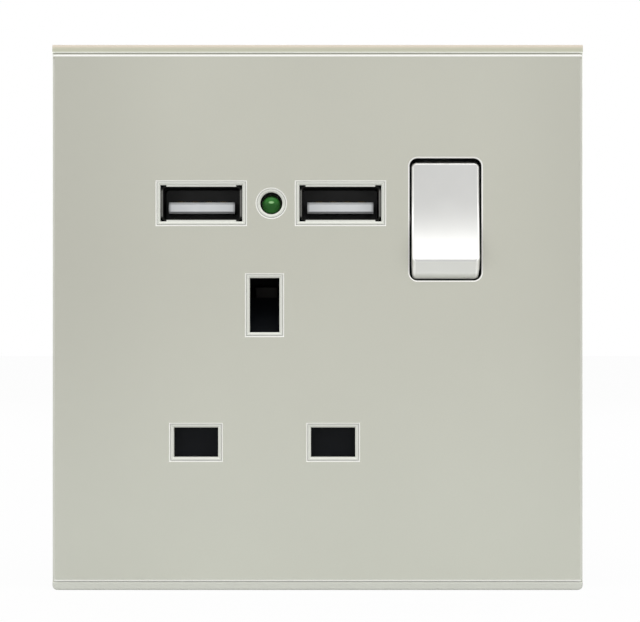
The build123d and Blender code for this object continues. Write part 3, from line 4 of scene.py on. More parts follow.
import bmesh
import bpy
import numpy as np
from bpy.props import FloatProperty, FloatVectorProperty, IntProperty, PointerProperty
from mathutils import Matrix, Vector


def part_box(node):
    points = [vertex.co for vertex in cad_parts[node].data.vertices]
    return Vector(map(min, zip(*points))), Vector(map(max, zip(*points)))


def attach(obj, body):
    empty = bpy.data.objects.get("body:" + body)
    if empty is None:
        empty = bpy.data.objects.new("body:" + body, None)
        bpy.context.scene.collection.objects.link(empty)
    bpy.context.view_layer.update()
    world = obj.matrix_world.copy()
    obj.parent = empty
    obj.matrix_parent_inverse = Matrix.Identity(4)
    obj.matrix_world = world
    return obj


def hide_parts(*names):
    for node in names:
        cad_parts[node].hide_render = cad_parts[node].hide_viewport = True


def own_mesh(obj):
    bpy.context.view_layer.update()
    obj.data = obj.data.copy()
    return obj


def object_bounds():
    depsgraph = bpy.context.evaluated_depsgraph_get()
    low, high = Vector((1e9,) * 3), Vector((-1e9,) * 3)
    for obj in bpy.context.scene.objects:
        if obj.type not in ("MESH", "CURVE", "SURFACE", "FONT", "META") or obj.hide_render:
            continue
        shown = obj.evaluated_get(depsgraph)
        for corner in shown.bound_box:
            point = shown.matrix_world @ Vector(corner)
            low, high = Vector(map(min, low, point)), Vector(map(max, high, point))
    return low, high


bl_info = {
    "name": "Switched wall socket with two charging ports",
    "version": (1, 0, 0),
    "blender": (4, 5, 0),
    "location": "3D View > Sidebar > Socket",
    "description": "Finishes, threaded screws, springs and a white studio for the wall socket",
    "category": "Object",
}

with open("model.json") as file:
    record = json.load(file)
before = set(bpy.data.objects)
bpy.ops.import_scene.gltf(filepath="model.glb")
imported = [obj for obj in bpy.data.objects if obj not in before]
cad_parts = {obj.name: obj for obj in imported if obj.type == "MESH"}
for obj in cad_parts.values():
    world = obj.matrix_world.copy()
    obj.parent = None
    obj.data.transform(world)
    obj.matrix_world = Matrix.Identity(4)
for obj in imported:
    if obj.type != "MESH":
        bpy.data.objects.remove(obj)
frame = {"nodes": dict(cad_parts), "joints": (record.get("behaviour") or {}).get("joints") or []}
CAD_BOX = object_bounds()

MM = 0.001
WELD = 1e-6
SORT_DIGITS = 5
BODY = "socket"
BLACK = (0.0, 0.0, 0.0)
WHITE = (1.0, 1.0, 1.0)

# Finishes: how squarely a face looks ahead, from bevel to flat, and the drift of the paint's tone.
BEVEL_TO_FLAT = (0.75, 0.97)
PAINT_DRIFT = 0.06
# The depth of a port tongue's nose, and in millimetres the flange round the lamp's lens and the
# places of the capacitors' stripes under their tops.
NOSE_DEPTH = 1.0 * MM
LAMP_FLANGE = 0.5
BULK_STRIPE = 1.2
OUTPUT_STRIPE = 1.0

# Screws and springs: the divisions of their round shapes.
HEAD_SEGMENTS = 40
HEAD_CREASE = math.radians(30)
CROWN_TURNS = [math.radians(turn) for turn in (30, 60, 90)]
SHANK_SEGMENTS = 28
RINGS_PER_TURN = 6
COIL_STEPS = 28
WIRE_SIDES = 10
# Shares of a screw head's height, of its radius, and of the length of a screw's point.
RIM_HEIGHT, SINK_DEPTH = 0.55, 0.15
CROWN_RADIUS, CORE_RADIUS = 0.72, 0.4
CROSS_ARM, CROSS_HALF, SLOT_REACH = 0.65, 0.18, 1.1
POINT_TAPER = 0.8

# Studio: the floor, the right fill light's share of the left one's power, and the camera's sensor.
FLOOR_HALF = 3.0
FLOOR_CELLS = 8
FLOOR_PAPER = (0.9, 0.9, 0.9)
FLOOR_GLOW = 0.95
RIGHT_FILL = 0.7
SENSOR_WIDTH = 36.0


class Value:
    """A node socket that takes part in Python expressions; each step adds a Math node."""

    def __init__(self, nodes, socket):
        self.nodes = nodes
        self.socket = socket

    def math(self, operation, *terms):
        return self.nodes.node("ShaderNodeMath", {"operation": operation}, dict(enumerate(terms)))

    def __add__(self, other):
        return self.math("ADD", self, other)

    def __radd__(self, other):
        return self.math("ADD", other, self)

    def __sub__(self, other):
        return self.math("SUBTRACT", self, other)

    def __rsub__(self, other):
        return self.math("SUBTRACT", other, self)

    def __mul__(self, other):
        return self.math("MULTIPLY", self, other)

    def __rmul__(self, other):
        return self.math("MULTIPLY", other, self)

    def __truediv__(self, other):
        return self.math("DIVIDE", self, other)

    def __neg__(self):
        return 0 - self

    def __abs__(self):
        return self.math("ABSOLUTE", self)

    def highest(self, other):
        return self.math("MAXIMUM", self, other)

    def ramp(self, low, high):
        """0 below low, 1 above high, and a smooth step between them."""
        return self.nodes.node(
            "ShaderNodeMapRange",
            {"interpolation_type": "SMOOTHSTEP"},
            {"Value": self, "From Min": low, "From Max": high},
        )


class Nodes:
    """A node tree that is filled through one method."""

    def __init__(self, tree):
        self.tree = tree

    def node(self, kind, settings=None, sockets=None, output=0):
        """Add a node: settings first, then the values or links of its sockets; gives one output."""
        made = self.tree.nodes.new(kind)
        for key, value in (settings or {}).items():
            if key == "stops":
                ramp = made.color_ramp.elements
                for index, (position, colour) in enumerate(value):
                    stop = ramp[index] if index < len(ramp) else ramp.new(position)
                    stop.position, stop.color = position, (*colour, 1.0)
            else:
                setattr(made, key, value)
        for key, value in (sockets or {}).items():
            self.plug(made.inputs[key], value)
        return Value(self, made.outputs[output])

    def plug(self, socket, value):
        """Link a socket, or set its own value; several values link to a socket that takes many."""
        if isinstance(value, list):
            for one in value:
                self.plug(socket, one)
        elif isinstance(value, Value):
            self.tree.links.new(value.socket, socket)
        elif socket.type == "RGBA" and len(value) == 3:
            socket.default_value = (*value, 1.0)
        else:
            socket.default_value = value


class Finish(Nodes):
    """A material with one Principled shader, patterned on the piece's own place in millimetres."""

    def __init__(self, name, constants=None):
        self.material = bpy.data.materials.new(name)
        self.material.use_nodes = True
        super().__init__(self.material.node_tree)
        self.tree.nodes.clear()
        self.shader = self.tree.nodes.new("ShaderNodeBsdfPrincipled")
        output = self.tree.nodes.new("ShaderNodeOutputMaterial")
        self.tree.links.new(self.shader.outputs["BSDF"], output.inputs["Surface"])
        self.feed(constants or {})
        place = self.node("ShaderNodeTexCoord", output="Object")
        self.place = self.node(
            "ShaderNodeVectorMath", {"operation": "SCALE"}, {0: place, "Scale": 1 / MM}
        )

    def feed(self, sockets):
        """Set or link the shader's sockets; gives the material."""
        for key, value in sockets.items():
            self.plug(self.shader.inputs[key], value)
        return self.material

    def along(self, axis):
        """The place along one axis, in millimetres."""
        return self.node("ShaderNodeSeparateXYZ", None, {0: self.place}, output=axis)

    def facing(self, axis):
        """How far the surface looks along one axis, from -1 to 1."""
        normal = self.node("ShaderNodeTexCoord", output="Normal")
        return self.node("ShaderNodeSeparateXYZ", None, {0: normal}, output=axis)

    def noise(self, size, stretch=(1.0, 1.0, 1.0), detail=2.0):
        """Soft noise in patches about size millimetres wide, longer where stretch is over 1."""
        scaled = self.node(
            "ShaderNodeVectorMath",
            {"operation": "DIVIDE"},
            {0: self.place, 1: tuple(size * part for part in stretch)},
        )
        return self.node(
            "ShaderNodeTexNoise", None, {"Vector": scaled, "Scale": 1.0, "Detail": detail}
        )

    def mix(self, first, second, factor):
        """A colour between two colours, by the Mix node's colour sockets: 6 and 7 in, 2 out."""
        return self.node(
            "ShaderNodeMix", {"data_type": "RGBA"}, {0: factor, 6: first, 7: second}, output=2
        )

    def clouded(self, colour, spread, pattern):
        """A colour that drifts a little darker and lighter with a pattern."""
        return self.mix(shade(colour, 1 - spread), shade(colour, 1 + spread), pattern)

    def bump(self, height, depth, strength):
        """A normal from a height of 0 to 1 that stands for depth millimetres."""
        return self.node(
            "ShaderNodeBump", None, {"Strength": strength, "Distance": depth * MM, "Height": height}
        )


def shade(colour, factor):
    """The same hue, darker or lighter."""
    return tuple(min(1.0, part * factor) for part in colour[:3])


def pearl_paint(finish):
    """Lay satin paint with a fine pearl grain; gives the cloud that its colours drift with."""
    drift = finish.noise(30.0)
    pearl = finish.noise(0.22, detail=1.0)
    skin = finish.noise(1.6)
    finish.feed({
        "Roughness": 0.34 + 0.12 * pearl,
        "Normal": finish.bump(0.4 * pearl + skin, depth=0.012, strength=0.5),
    })
    return 0.6 * drift + 0.4 * pearl


def panel_paint(name, shaded_upper_colour, lit_lower_colour, cut_colour, corner):
    """The panel's paint, with painted shade towards its top and its two sides and painted light
    towards its foot; pale on its bevels and window edges.

    A painted highlight runs close under the top edge, and the edge itself has painted shade. Their
    steps are in millimetres up from that edge. The bevels at the two sides keep most of the paint.
    """
    # edge_start begins the painted shade on the top edge; line_foot and line_head bound the painted
    # highlight under it.
    bevels_end, edge_start = (-1.0, -0.9), (-0.22, -0.12)
    line_foot, line_head = (-0.56, -0.46), (-0.26, -0.16)
    side_bevel, side_cover = (corner.x - 0.7, corner.x - 0.6), 0.78
    looks_up_or_down = (0.3, 0.5)

    finish = Finish(name)
    cloud = pearl_paint(finish)
    across, height = finish.along("X"), finish.along("Z")
    # Painted light and shade: the lit copy of the paint at the foot, the shaded copy at the top.
    rise = height.ramp(-corner.z, 0.3 * corner.z)
    lower, upper = (
        finish.clouded(colour, PAINT_DRIFT, cloud) for colour in (lit_lower_colour, shaded_upper_colour)
    )
    # Painted shade towards the two sides.
    painted_side_shade = finish.mix(shade(lit_lower_colour, 0.955), shade(shaded_upper_colour, 0.91), rise)
    aside = abs(across - 0.1 * corner.x).ramp(0.5 * corner.x, 1.1 * corner.x)
    body = finish.mix(finish.mix(lower, upper, rise), painted_side_shade, aside)

    bevel = 1 - abs(finish.facing("Y")).ramp(*BEVEL_TO_FLAT)
    inside = 1 - side_cover * abs(across).ramp(*side_bevel)
    bare = inside.highest(abs(finish.facing("Z")).ramp(*looks_up_or_down))
    brow = height - corner.z
    # A painted highlight under the top edge.
    painted_highlight = brow.ramp(*line_foot) - brow.ramp(*line_head)
    # The pale cut edges of the bevels, and the painted highlight.
    pale = (bevel * bare * (1 - brow.ramp(*bevels_end))).highest(painted_highlight)
    painted = finish.mix(body, cut_colour, pale)
    # Painted shade on the top edge.
    edge_shaded = finish.mix(painted, shade(shaded_upper_colour, 0.85), brow.ramp(*edge_start))
    return finish.feed({"Base Color": edge_shaded})


def rim_paint(name, lit_crest_colour, shaded_upper_colour, lit_lower_colour, corner, groove):
    """The rim's paint, with painted light on its front: the lip over the panel has painted shade
    with a warm painted reflection, turning to painted light towards its crest, and the one under it
    is painted lighter.

    The groove between rim and panel is at the height of the panel's edge, and both lips carry a
    painted highlight beside it.
    """
    finish = Finish(name)
    cloud = pearl_paint(finish)
    # The paint's own colour, between its lit and shaded copies, on the faces that don't look ahead.
    side_colour = [(high + low) / 2 for high, low in zip(shaded_upper_colour, lit_lower_colour)]
    lower, side = (
        finish.clouded(colour, PAINT_DRIFT, cloud) for colour in (lit_lower_colour, side_colour)
    )
    height = finish.along("Z")
    climb = (height - groove) / (corner.z - groove)
    # The upper lip: a painted highlight by the groove, painted shade on its wall, painted light at
    # its crest.
    glint, wall, crest = shade(lit_lower_colour, 1.6), shaded_upper_colour[:], lit_crest_colour[:]
    stops = [(0.15, glint), (0.2, wall), (0.5, wall), (0.88, crest)]
    upper = finish.node("ShaderNodeValToRGB", {"stops": stops}, {0: climb})
    # A painted highlight on the lower lip beside the groove.
    lit_brink = (height + groove).ramp(-0.35, -0.15)
    foot = finish.mix(lower, shade(lit_lower_colour, 1.25), lit_brink)
    lip = finish.mix(foot, upper, height.ramp(-0.5 * corner.z, 0.5 * corner.z))
    front = (-finish.facing("Y")).ramp(0.1, 0.6)
    return finish.feed({"Base Color": finish.mix(side, lip, front)})


def moulded_plastic(name, colour, texture, roughness, gloss=0.5, bevels=None):
    """Moulded plastic: a slight drift of tone and the tool's fine spark texture.

    Where bevels are given, they have painted shade as they look down and painted light as they look
    up.
    """
    finish = Finish(name, {"Specular IOR Level": gloss})
    spark = finish.noise(texture, detail=3.0)
    cloud = 0.7 * finish.noise(14.0) + 0.3 * spark
    body = finish.clouded(colour, 0.1, cloud)
    if bevels:
        # Painted shade on bevels that look down, painted light on those that look up.
        down, up = (shade(colour, factor) for factor in bevels)
        edge = finish.mix(down, up, finish.facing("Z").ramp(-0.7, 0.7))
        body = finish.mix(edge, body, abs(finish.facing("Y")).ramp(*BEVEL_TO_FLAT))
    return finish.feed({
        "Base Color": body,
        "Roughness": roughness + 0.16 * (spark - 0.5),
        "Normal": finish.bump(spark, depth=0.02, strength=0.6),
    })


def satin_chrome(name, colour, lit_nose_colour, edge_highlight_colour):
    """Bead-blasted chrome plating with a faint haze, painted light on its noses and painted
    highlights on its edges.
    """
    looks_down, looks_up = (-0.6, -0.35), (0.42, 0.6)
    edge_start, edge_end = (0.15, 0.45), (0.75, 0.95)

    finish = Finish(name, {"Metallic": 1.0})
    haze = finish.noise(7.0)
    blast = finish.noise(0.11, detail=1.0)
    upward, sideways = finish.facing("Z"), abs(finish.facing("X"))
    # Painted light on the noses, which look down, and painted highlights on the edges.
    nose = 1 - upward.ramp(*looks_down)
    side_highlight = sideways.ramp(*edge_start) - sideways.ramp(*edge_end)
    edge = side_highlight.highest(upward.ramp(*looks_up))
    satin = finish.clouded(colour, 0.05, haze)
    return finish.feed({
        "Base Color": finish.mix(finish.mix(satin, lit_nose_colour, nose), edge_highlight_colour, edge),
        "Roughness": 0.27 + 0.08 * blast + 0.04 * haze + 0.3 * nose,
        "Normal": finish.bump(blast, depth=0.002, strength=0.5),
    })


def rolled_metal(name, colour, roughness, grain=(1.0, 1.0, 14.0)):
    """Metal strip or bar: streaks along the rolling direction and a little tarnish."""
    finish = Finish(name, {"Metallic": 1.0})
    streak = finish.noise(0.12, stretch=grain, detail=3.0)
    tarnish = finish.noise(3.5)
    wear_and_shade = 0.35 * streak + 0.65 * tarnish
    return finish.feed({
        "Base Color": finish.mix(shade(colour, 0.78), shade(colour, 1.12), wear_and_shade),
        "Roughness": roughness + 0.14 * (streak - 0.5) + 0.12 * (tarnish - 0.5),
        "Normal": finish.bump(streak, depth=0.004, strength=0.4),
    })


def port_shell(name, colour, mouth, middle, half_height):
    """Plated shell: its plating shows on the two ends of its mouth, with painted shade above, below
    and inside.
    """
    finish = Finish(name, {"Metallic": 1.0})
    streak = finish.noise(0.1, stretch=(1.0, 16.0, 1.0), detail=3.0)
    # Painted shade inside the mouth, and on the shell's top and bottom.
    inside = (finish.along("Y") - mouth).ramp(0.05, 0.35)
    flank_shade = abs(finish.along("Z") - middle).ramp(half_height - 0.9, half_height - 0.5)
    return finish.feed({
        "Base Color": finish.mix(colour, shade(colour, 0.1), inside.highest(flank_shade)),
        "Roughness": 0.3 + 0.2 * streak,
        "Normal": finish.bump(streak, depth=0.004, strength=0.4),
    })


def port_tongue(name, colour, nose, left, right):
    """White contact tongue with painted shade on its lower bevel and its ends, darkening to painted
    shade at its root.
    """
    finish = Finish(name)
    drift = finish.noise(2.2)
    # Painted shade further into the port, towards the tongue's root.
    root_shade = (finish.along("Y") - nose).ramp(0.3, 1.4)
    front = finish.mix(shade(colour, 0.92), shade(colour, 1.04), drift)
    half_width = (right - left) / 2
    # Painted shade on the tongue's ends and its lower bevel.
    ends = 0.5 * abs(finish.along("X") - (left + half_width)).ramp(half_width - 0.5, half_width)
    under = 0.45 * (1 - finish.facing("Z").ramp(-0.7, -0.1))
    wear_and_shade = finish.mix(front, shade(colour, 0.05), ends.highest(under))
    return finish.feed({
        "Base Color": finish.mix(wear_and_shade, shade(colour, 0.015), root_shade),
        "Roughness": 0.35 + 0.15 * drift,
        "Normal": finish.bump(finish.noise(0.15), depth=0.006, strength=0.4),
    })


def lamp_lens(name, colour, die_highlight_colour, axis, radius):
    """Tinted lens with painted light: lighter above a pale spot for the LED's chip, painted as a
    highlight, darker below it and lighter again at its foot, with a painted shadow round its upper
    rim.

    Places on the lens are in shares of its radius.
    """
    die_height, die_flatness, die_edge = 0.16, 2.2, (0.02, 0.11)

    finish = Finish(name, {"Specular IOR Level": 0.15})
    across = (finish.along("X") - axis.x) / radius
    upward = (finish.along("Z") - axis.z) / radius
    reach = across * across + upward * upward
    raised = (upward - die_height) * die_flatness
    # A pale spot for the LED's chip, painted as a highlight.
    die_highlight = 1 - (across * across + raised * raised).ramp(*die_edge)
    cloud = finish.noise(0.5)
    # Painted light: darker below the middle, lighter above it and again towards the foot.
    depth = finish.mix(shade(colour, 0.75), shade(colour, 1.6), upward.ramp(-0.15, 0.4))
    body = finish.mix(depth, shade(colour, 1.3), (-upward).ramp(0.4, 0.95))
    clouded = finish.mix(body, shade(colour, 0.6), 0.5 * cloud)
    # Painted shadow round the upper rim.
    rim = (reach + 0.45 * upward).ramp(0.6, 1.0)
    shaded = finish.mix(clouded, shade(colour, 0.08), rim)
    return finish.feed({
        "Base Color": finish.mix(shaded, die_highlight_colour, die_highlight),
        "Roughness": 0.2 + 0.1 * cloud,
    })


def circuit_board(name, mask_colour, copper_colour):
    """Solder mask over copper tracks that show as slightly raised, paler bands."""
    finish = Finish(name)
    cells = finish.node(
        "ShaderNodeTexVoronoi",
        {"distance": "MANHATTAN", "feature": "F1"},
        {"Vector": finish.place, "Scale": 0.35, "Randomness": 0.6},
    )
    track = cells.math("PINGPONG", cells, 0.12).ramp(0.05, 0.07)
    weave = finish.noise(0.3)
    mask = finish.mix(mask_colour, shade(mask_colour, 1.9), track)
    return finish.feed({
        "Base Color": finish.mix(mask, copper_colour, 0.12 * track * weave),
        "Roughness": 0.3 + 0.2 * weave,
        "Normal": finish.bump(track + 0.2 * weave, depth=0.03, strength=0.7),
    })


def speckled(name, colour, grain, roughness):
    """Pressed powder or filled resin: small pale specks in a dark body."""
    finish = Finish(name)
    fleck = finish.noise(grain, detail=4.0)
    return finish.feed({
        "Base Color": finish.mix(shade(colour, 0.7), shade(colour, 1.8), fleck.ramp(0.45, 0.75)),
        "Roughness": roughness + 0.2 * (fleck - 0.5),
        "Normal": finish.bump(fleck, depth=0.03, strength=0.6),
    })


def wound_tape(name, colour):
    """Overlapping turns of tape round the winding."""
    turn_width = 0.9

    finish = Finish(name, {"Coat Weight": 0.3})
    turns = finish.along("Z") + 0.15 * finish.along("X") + 0.2 * finish.noise(5.0)
    lap = turns.math("PINGPONG", turns, turn_width) / turn_width
    return finish.feed({
        "Base Color": finish.mix(shade(colour, 0.7), colour, lap),
        "Roughness": 0.25 + 0.15 * lap,
        "Normal": finish.bump(lap, depth=0.06, strength=0.6),
    })


def sleeved_can(name, colour, stripe_colour, stripe_level):
    """Capacitor sleeve with a pale stripe round one end and a little orange peel."""
    finish = Finish(name, {"Coat Weight": 0.4})
    peel = finish.noise(0.5)
    sleeve = finish.mix(shade(colour, 0.85), colour, peel)
    off_stripe = abs(finish.along("Y") - stripe_level).ramp(0.5, 0.6)
    return finish.feed({
        "Base Color": finish.mix(stripe_colour, sleeve, off_stripe),
        "Roughness": 0.28 + 0.15 * peel,
        "Normal": finish.bump(peel, depth=0.015, strength=0.5),
    })


def insulated_lead(name, left_colour, right_colour, parting):
    """Sleeved wire, one colour for each of the two leads."""
    finish = Finish(name)
    grain = finish.noise(0.25)
    side = finish.along("X").ramp(parting - 0.1, parting + 0.1)
    sleeve = finish.mix(left_colour, right_colour, side)
    return finish.feed({
        "Base Color": finish.mix(sleeve, BLACK, 0.2 * grain),
        "Roughness": 0.4 + 0.15 * grain,
        "Normal": finish.bump(grain, depth=0.01, strength=0.5),
    })


def dress(material, *nodes):
    """Give CAD nodes their finish."""
    for node in nodes:
        for place in frame["nodes"][node].material_slots:
            place.material = material


def front_span(node, depth):
    """The lowest and highest x of a CAD node within a depth of its front."""
    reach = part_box(node)[0].y + depth
    vertices = frame["nodes"][node].data.vertices
    across = [vertex.co.x for vertex in vertices if vertex.co.y < reach]
    return min(across), max(across)


def eased_rocker(name, node, fit):
    """A closed copy of the rocker whose face ends a little lower, at its top edge and its nose."""
    source = frame["nodes"][node].data
    normals = [corner.vector.copy() for corner in source.corner_normals]
    shape = bmesh.new()
    shape.from_mesh(source)
    bmesh.ops.remove_doubles(shape, verts=shape.verts, dist=WELD)
    nose = min((vert.co for vert in shape.verts), key=lambda point: point.y).copy()
    edge = max(vert.co.z for vert in shape.verts if vert.co.y < nose.y + fit.face_depth)
    levels = (nose.z - fit.reach, nose.z, nose.z + fit.reach, edge - fit.reach, edge)
    drops = (0.0, fit.nose_drop, 0.0, 0.0, fit.edge_drop)
    for vert in shape.verts:
        vert.co.z -= np.interp(vert.co.z, levels, drops)
    mesh = bpy.data.meshes.new(name)
    shape.to_mesh(mesh)
    shape.free()
    mesh.normals_split_custom_set(normals)
    return piece(name, mesh)


class Rule(Nodes):
    """A Geometry Nodes tree with named inputs; realised and given its material at the end."""

    def __init__(self, name, inputs):
        super().__init__(bpy.data.node_groups.new(name, "GeometryNodeTree"))
        for way in ("INPUT", "OUTPUT"):
            self.add_socket("Geometry", way, "NodeSocketGeometry")
        self.identifiers = {
            label: self.add_socket(label, "INPUT", kind).identifier
            for label, kind in {**inputs, "Material": "NodeSocketMaterial"}.items()
        }
        self.entry = self.tree.nodes.new("NodeGroupInput")

    def add_socket(self, label, way, kind):
        """Add an input or an output to the tree."""
        return self.tree.interface.new_socket(label, in_out=way, socket_type=kind)

    def given(self, label):
        """The value of one of the tree's inputs."""
        return Value(self, self.entry.outputs[label])

    def close(self, geometry):
        """End the tree in Realize Instances and Set Material."""
        realised = self.node("GeometryNodeRealizeInstances", None, {0: geometry})
        coat = {"Geometry": realised, "Material": self.given("Material")}
        coated = self.node("GeometryNodeSetMaterial", None, coat)
        output = self.tree.nodes.new("NodeGroupOutput")
        self.plug(output.inputs[0], coated)

    def grow(self, name, seed_mesh, values):
        """Run the tree on a mesh and give the result as a plain mesh object."""
        carrier = bpy.data.objects.new(name + "_rule", seed_mesh)
        bpy.context.scene.collection.objects.link(carrier)
        modifier = carrier.modifiers.new("rule", "NODES")
        modifier.node_group = self.tree
        for label, value in values.items():
            modifier[self.identifiers[label]] = value
        mesh = settled(carrier)
        bpy.data.objects.remove(carrier)
        return piece(name, mesh)


def settled(obj):
    """The mesh of an object with its modifiers worked in."""
    bpy.context.view_layer.update()
    seen = obj.evaluated_get(bpy.context.evaluated_depsgraph_get())
    return bpy.data.meshes.new_from_object(seen)


def piece(name, mesh):
    """A finished piece: an object at the origin with its place in its mesh."""
    mesh.name = name
    obj = bpy.data.objects.new(name, mesh)
    bpy.context.scene.collection.objects.link(obj)
    return obj


def turned(profile, segments):
    """A body turned about Z from a profile of (radius, height), closed by flat ends."""
    shape = bmesh.new()
    angles = [2 * math.pi * step / segments for step in range(segments)]
    rings = [
        [shape.verts.new((radius * math.cos(a), radius * math.sin(a), height)) for a in angles]
        for radius, height in profile
    ]
    for low, high in zip(rings, rings[1:]):
        join_rings(shape, low, high)
    shape.faces.new(rings[0])
    shape.faces.new(rings[-1])
    return bmesh_to_mesh(shape)


def prism(outline, low, high):
    """An upright prism between two heights, for cutting recesses."""
    shape = bmesh.new()
    ends = [[shape.verts.new((x, y, height)) for x, y in outline] for height in (low, high)]
    join_rings(shape, *ends)
    for end in ends:
        shape.faces.new(end)
    return bmesh_to_mesh(shape)


def join_rings(shape, low, high):
    """Faces between two closed rings of points."""
    for step in range(len(low)):
        after = (step + 1) % len(low)
        shape.faces.new((low[step], low[after], high[after], high[step]))


def bmesh_to_mesh(shape):
    """A mesh of a finished shape, with its faces pointing outwards."""
    bmesh.ops.recalc_face_normals(shape, faces=shape.faces)
    mesh = bpy.data.meshes.new("shape")
    shape.to_mesh(mesh)
    shape.free()
    return mesh


def screw_head(radius, height, slot, crossed):
    """A pan head on the plane z = 0 with a slot right across, or a cross recess in its middle."""
    rim, crown = RIM_HEIGHT * height, CROWN_RADIUS * radius
    core, sink = CORE_RADIUS * radius, SINK_DEPTH * height
    profile = [(core, -sink), (core, 0), (radius, 0), (radius, rim)]
    profile += [
        (crown + (radius - crown) * math.cos(turn), rim + (height - rim) * math.sin(turn))
        for turn in CROWN_TURNS
    ]
    if crossed:
        arm, half = CROSS_ARM * radius, CROSS_HALF * radius
        outline, quarter = [], [(half, half), (half, arm), (-half, arm)]
        for _ in range(4):
            outline += quarter
            quarter = [(-y, x) for x, y in quarter]
    else:
        arm, half = SLOT_REACH * radius, slot / 2
        outline = [(-arm, -half), (arm, -half), (arm, half), (-arm, half)]
    head = bpy.data.objects.new("head", turned(profile, HEAD_SEGMENTS))
    cutter = bpy.data.objects.new("cutter", prism(outline, height - slot, height + slot))
    for obj in (head, cutter):
        bpy.context.scene.collection.objects.link(obj)
    cut = head.modifiers.new("recess", "BOOLEAN")
    cut.operation, cut.solver, cut.object = "DIFFERENCE", "EXACT", cutter
    mesh = settled(head)
    mesh.shade_smooth()
    mesh.set_sharp_from_angle(angle=HEAD_CREASE)
    for obj in (head, cutter):
        bpy.data.objects.remove(obj)
    return mesh


def screw_rule():
    """Screws on the points of a mesh: a head, and a shank whose skin waves as a thread."""
    floats = ("Radius", "Depth", "Pitch", "Length", "Neck", "Point")
    rule = Rule("threaded screws", {
        "Head": "NodeSocketObject",
        "Turn": "NodeSocketVector",
        **dict.fromkeys(floats, "NodeSocketFloat"),
    })
    radius, depth, pitch, length, neck, point = (rule.given(label) for label in floats)
    rings = length.math("CEIL", length / pitch * RINGS_PER_TURN)
    rod = rule.node(
        "GeometryNodeMeshCylinder",
        {"fill_type": "TRIANGLE_FAN"},
        {"Vertices": SHANK_SEGMENTS, "Side Segments": rings, "Radius": radius, "Depth": length},
    )
    drop = rule.node("ShaderNodeCombineXYZ", None, {"Z": length * -0.5})
    hung = rule.node("GeometryNodeTransform", None, {"Geometry": rod, "Translation": drop})
    place = rule.node("GeometryNodeInputPosition")
    x, y, z = (
        rule.node("ShaderNodeSeparateXYZ", None, {0: place}, output=axis) for axis in "XYZ"
    )
    phase = z / pitch + x.math("ARCTAN2", y, x) / (2 * math.pi)
    valley = phase.math("PINGPONG", phase, 0.5) * 2
    below_neck = z.math("LESS_THAN", z, -neck)
    tip = rule.node("ShaderNodeMapRange", None, {
        "Value": z + length,
        "From Max": point,
        "To Min": point * POINT_TAPER,
        "To Max": 0.0,
    })
    core = radius - depth * (valley * below_neck + (1 - below_neck)) - tip
    ratio = core / radius
    shaped = rule.node("ShaderNodeCombineXYZ", None, {"X": x * ratio, "Y": y * ratio, "Z": z})
    cut = rule.node("GeometryNodeSetPosition", None, {"Geometry": hung, "Position": shaped})
    thread = rule.node("GeometryNodeSetShadeSmooth", None, {"Geometry": cut})
    head = rule.node(
        "GeometryNodeObjectInfo", None, {"Object": rule.given("Head")}, output="Geometry"
    )
    whole = rule.node("GeometryNodeJoinGeometry", None, {0: [thread, head]})
    rule.close(rule.node(
        "GeometryNodeInstanceOnPoints",
        None,
        {"Points": rule.given("Geometry"), "Instance": whole, "Rotation": rule.given("Turn")},
        output="Instances",
    ))
    return rule


def coil_rule():
    """A round-wire helix that stands on its foot and leans with its turn."""
    rule = Rule("wire coil", {
        **dict.fromkeys(("Foot", "Turn"), "NodeSocketVector"),
        **dict.fromkeys(("Radius", "Wire", "Turns", "Height"), "NodeSocketFloat"),
    })
    radius = rule.given("Radius")
    path = rule.node("GeometryNodeCurveSpiral", None, {
        "Resolution": COIL_STEPS,
        "Rotations": rule.given("Turns"),
        "Start Radius": radius,
        "End Radius": radius,
        "Height": rule.given("Height"),
    })
    section = rule.node(
        "GeometryNodeCurvePrimitiveCircle",
        None,
        {"Resolution": WIRE_SIDES, "Radius": rule.given("Wire") / 2},
    )
    tube = rule.node("GeometryNodeCurveToMesh", None, {
        "Curve": path, "Profile Curve": section, "Fill Caps": True,
    })
    drawn = rule.node("GeometryNodeSetShadeSmooth", None, {"Geometry": tube})
    rule.close(rule.node("GeometryNodeTransform", None, {
        "Geometry": drawn, "Translation": rule.given("Foot"), "Rotation": rule.given("Turn"),
    }))
    return rule


def wound_spring(rule, name, foot, axis, length, radius, wire, turns, material):
    """A coil spring of an outer length and radius, from its foot along an axis that has no x."""
    lean = math.atan2(axis.z, -axis.y)
    return rule.grow(name, points_mesh([]), {
        "Foot": foot + axis * (wire / 2),
        "Turn": (math.pi / 2 - lean, 0.0, 0.0),
        "Radius": radius - wire / 2,
        "Wire": wire,
        "Turns": turns,
        "Height": length - wire,
        "Material": material,
    })


def loose_parts(node):
    """The boxes of the separate solids in one CAD node, in a fixed order."""
    copy = bmesh.new()
    copy.from_mesh(frame["nodes"][node].data)
    bmesh.ops.remove_doubles(copy, verts=copy.verts, dist=WELD)
    copy.verts.ensure_lookup_table()
    seen, boxes = set(), []
    for start in copy.verts:
        if start.index in seen:
            continue
        seen.add(start.index)
        reached, island = [start], []
        while reached:
            vert = reached.pop()
            island.append(vert.co.copy())
            for edge in vert.link_edges:
                other = edge.other_vert(vert)
                if other.index not in seen:
                    seen.add(other.index)
                    reached.append(other)
        boxes.append(tuple(
            Vector(end(point[i] for point in island) for i in range(3)) for end in (min, max)
        ))
    copy.free()
    return sorted(boxes, key=lambda box: tuple(round(part, SORT_DIGITS) for part in box[0]))


def points_mesh(points):
    """A mesh of loose points."""
    mesh = bpy.data.meshes.new("points")
    mesh.from_pydata(points, [], [])
    return mesh


def joint(name):
    """A joint of the packed record, by name."""
    return next(one for one in frame["joints"] if one["name"] == name)


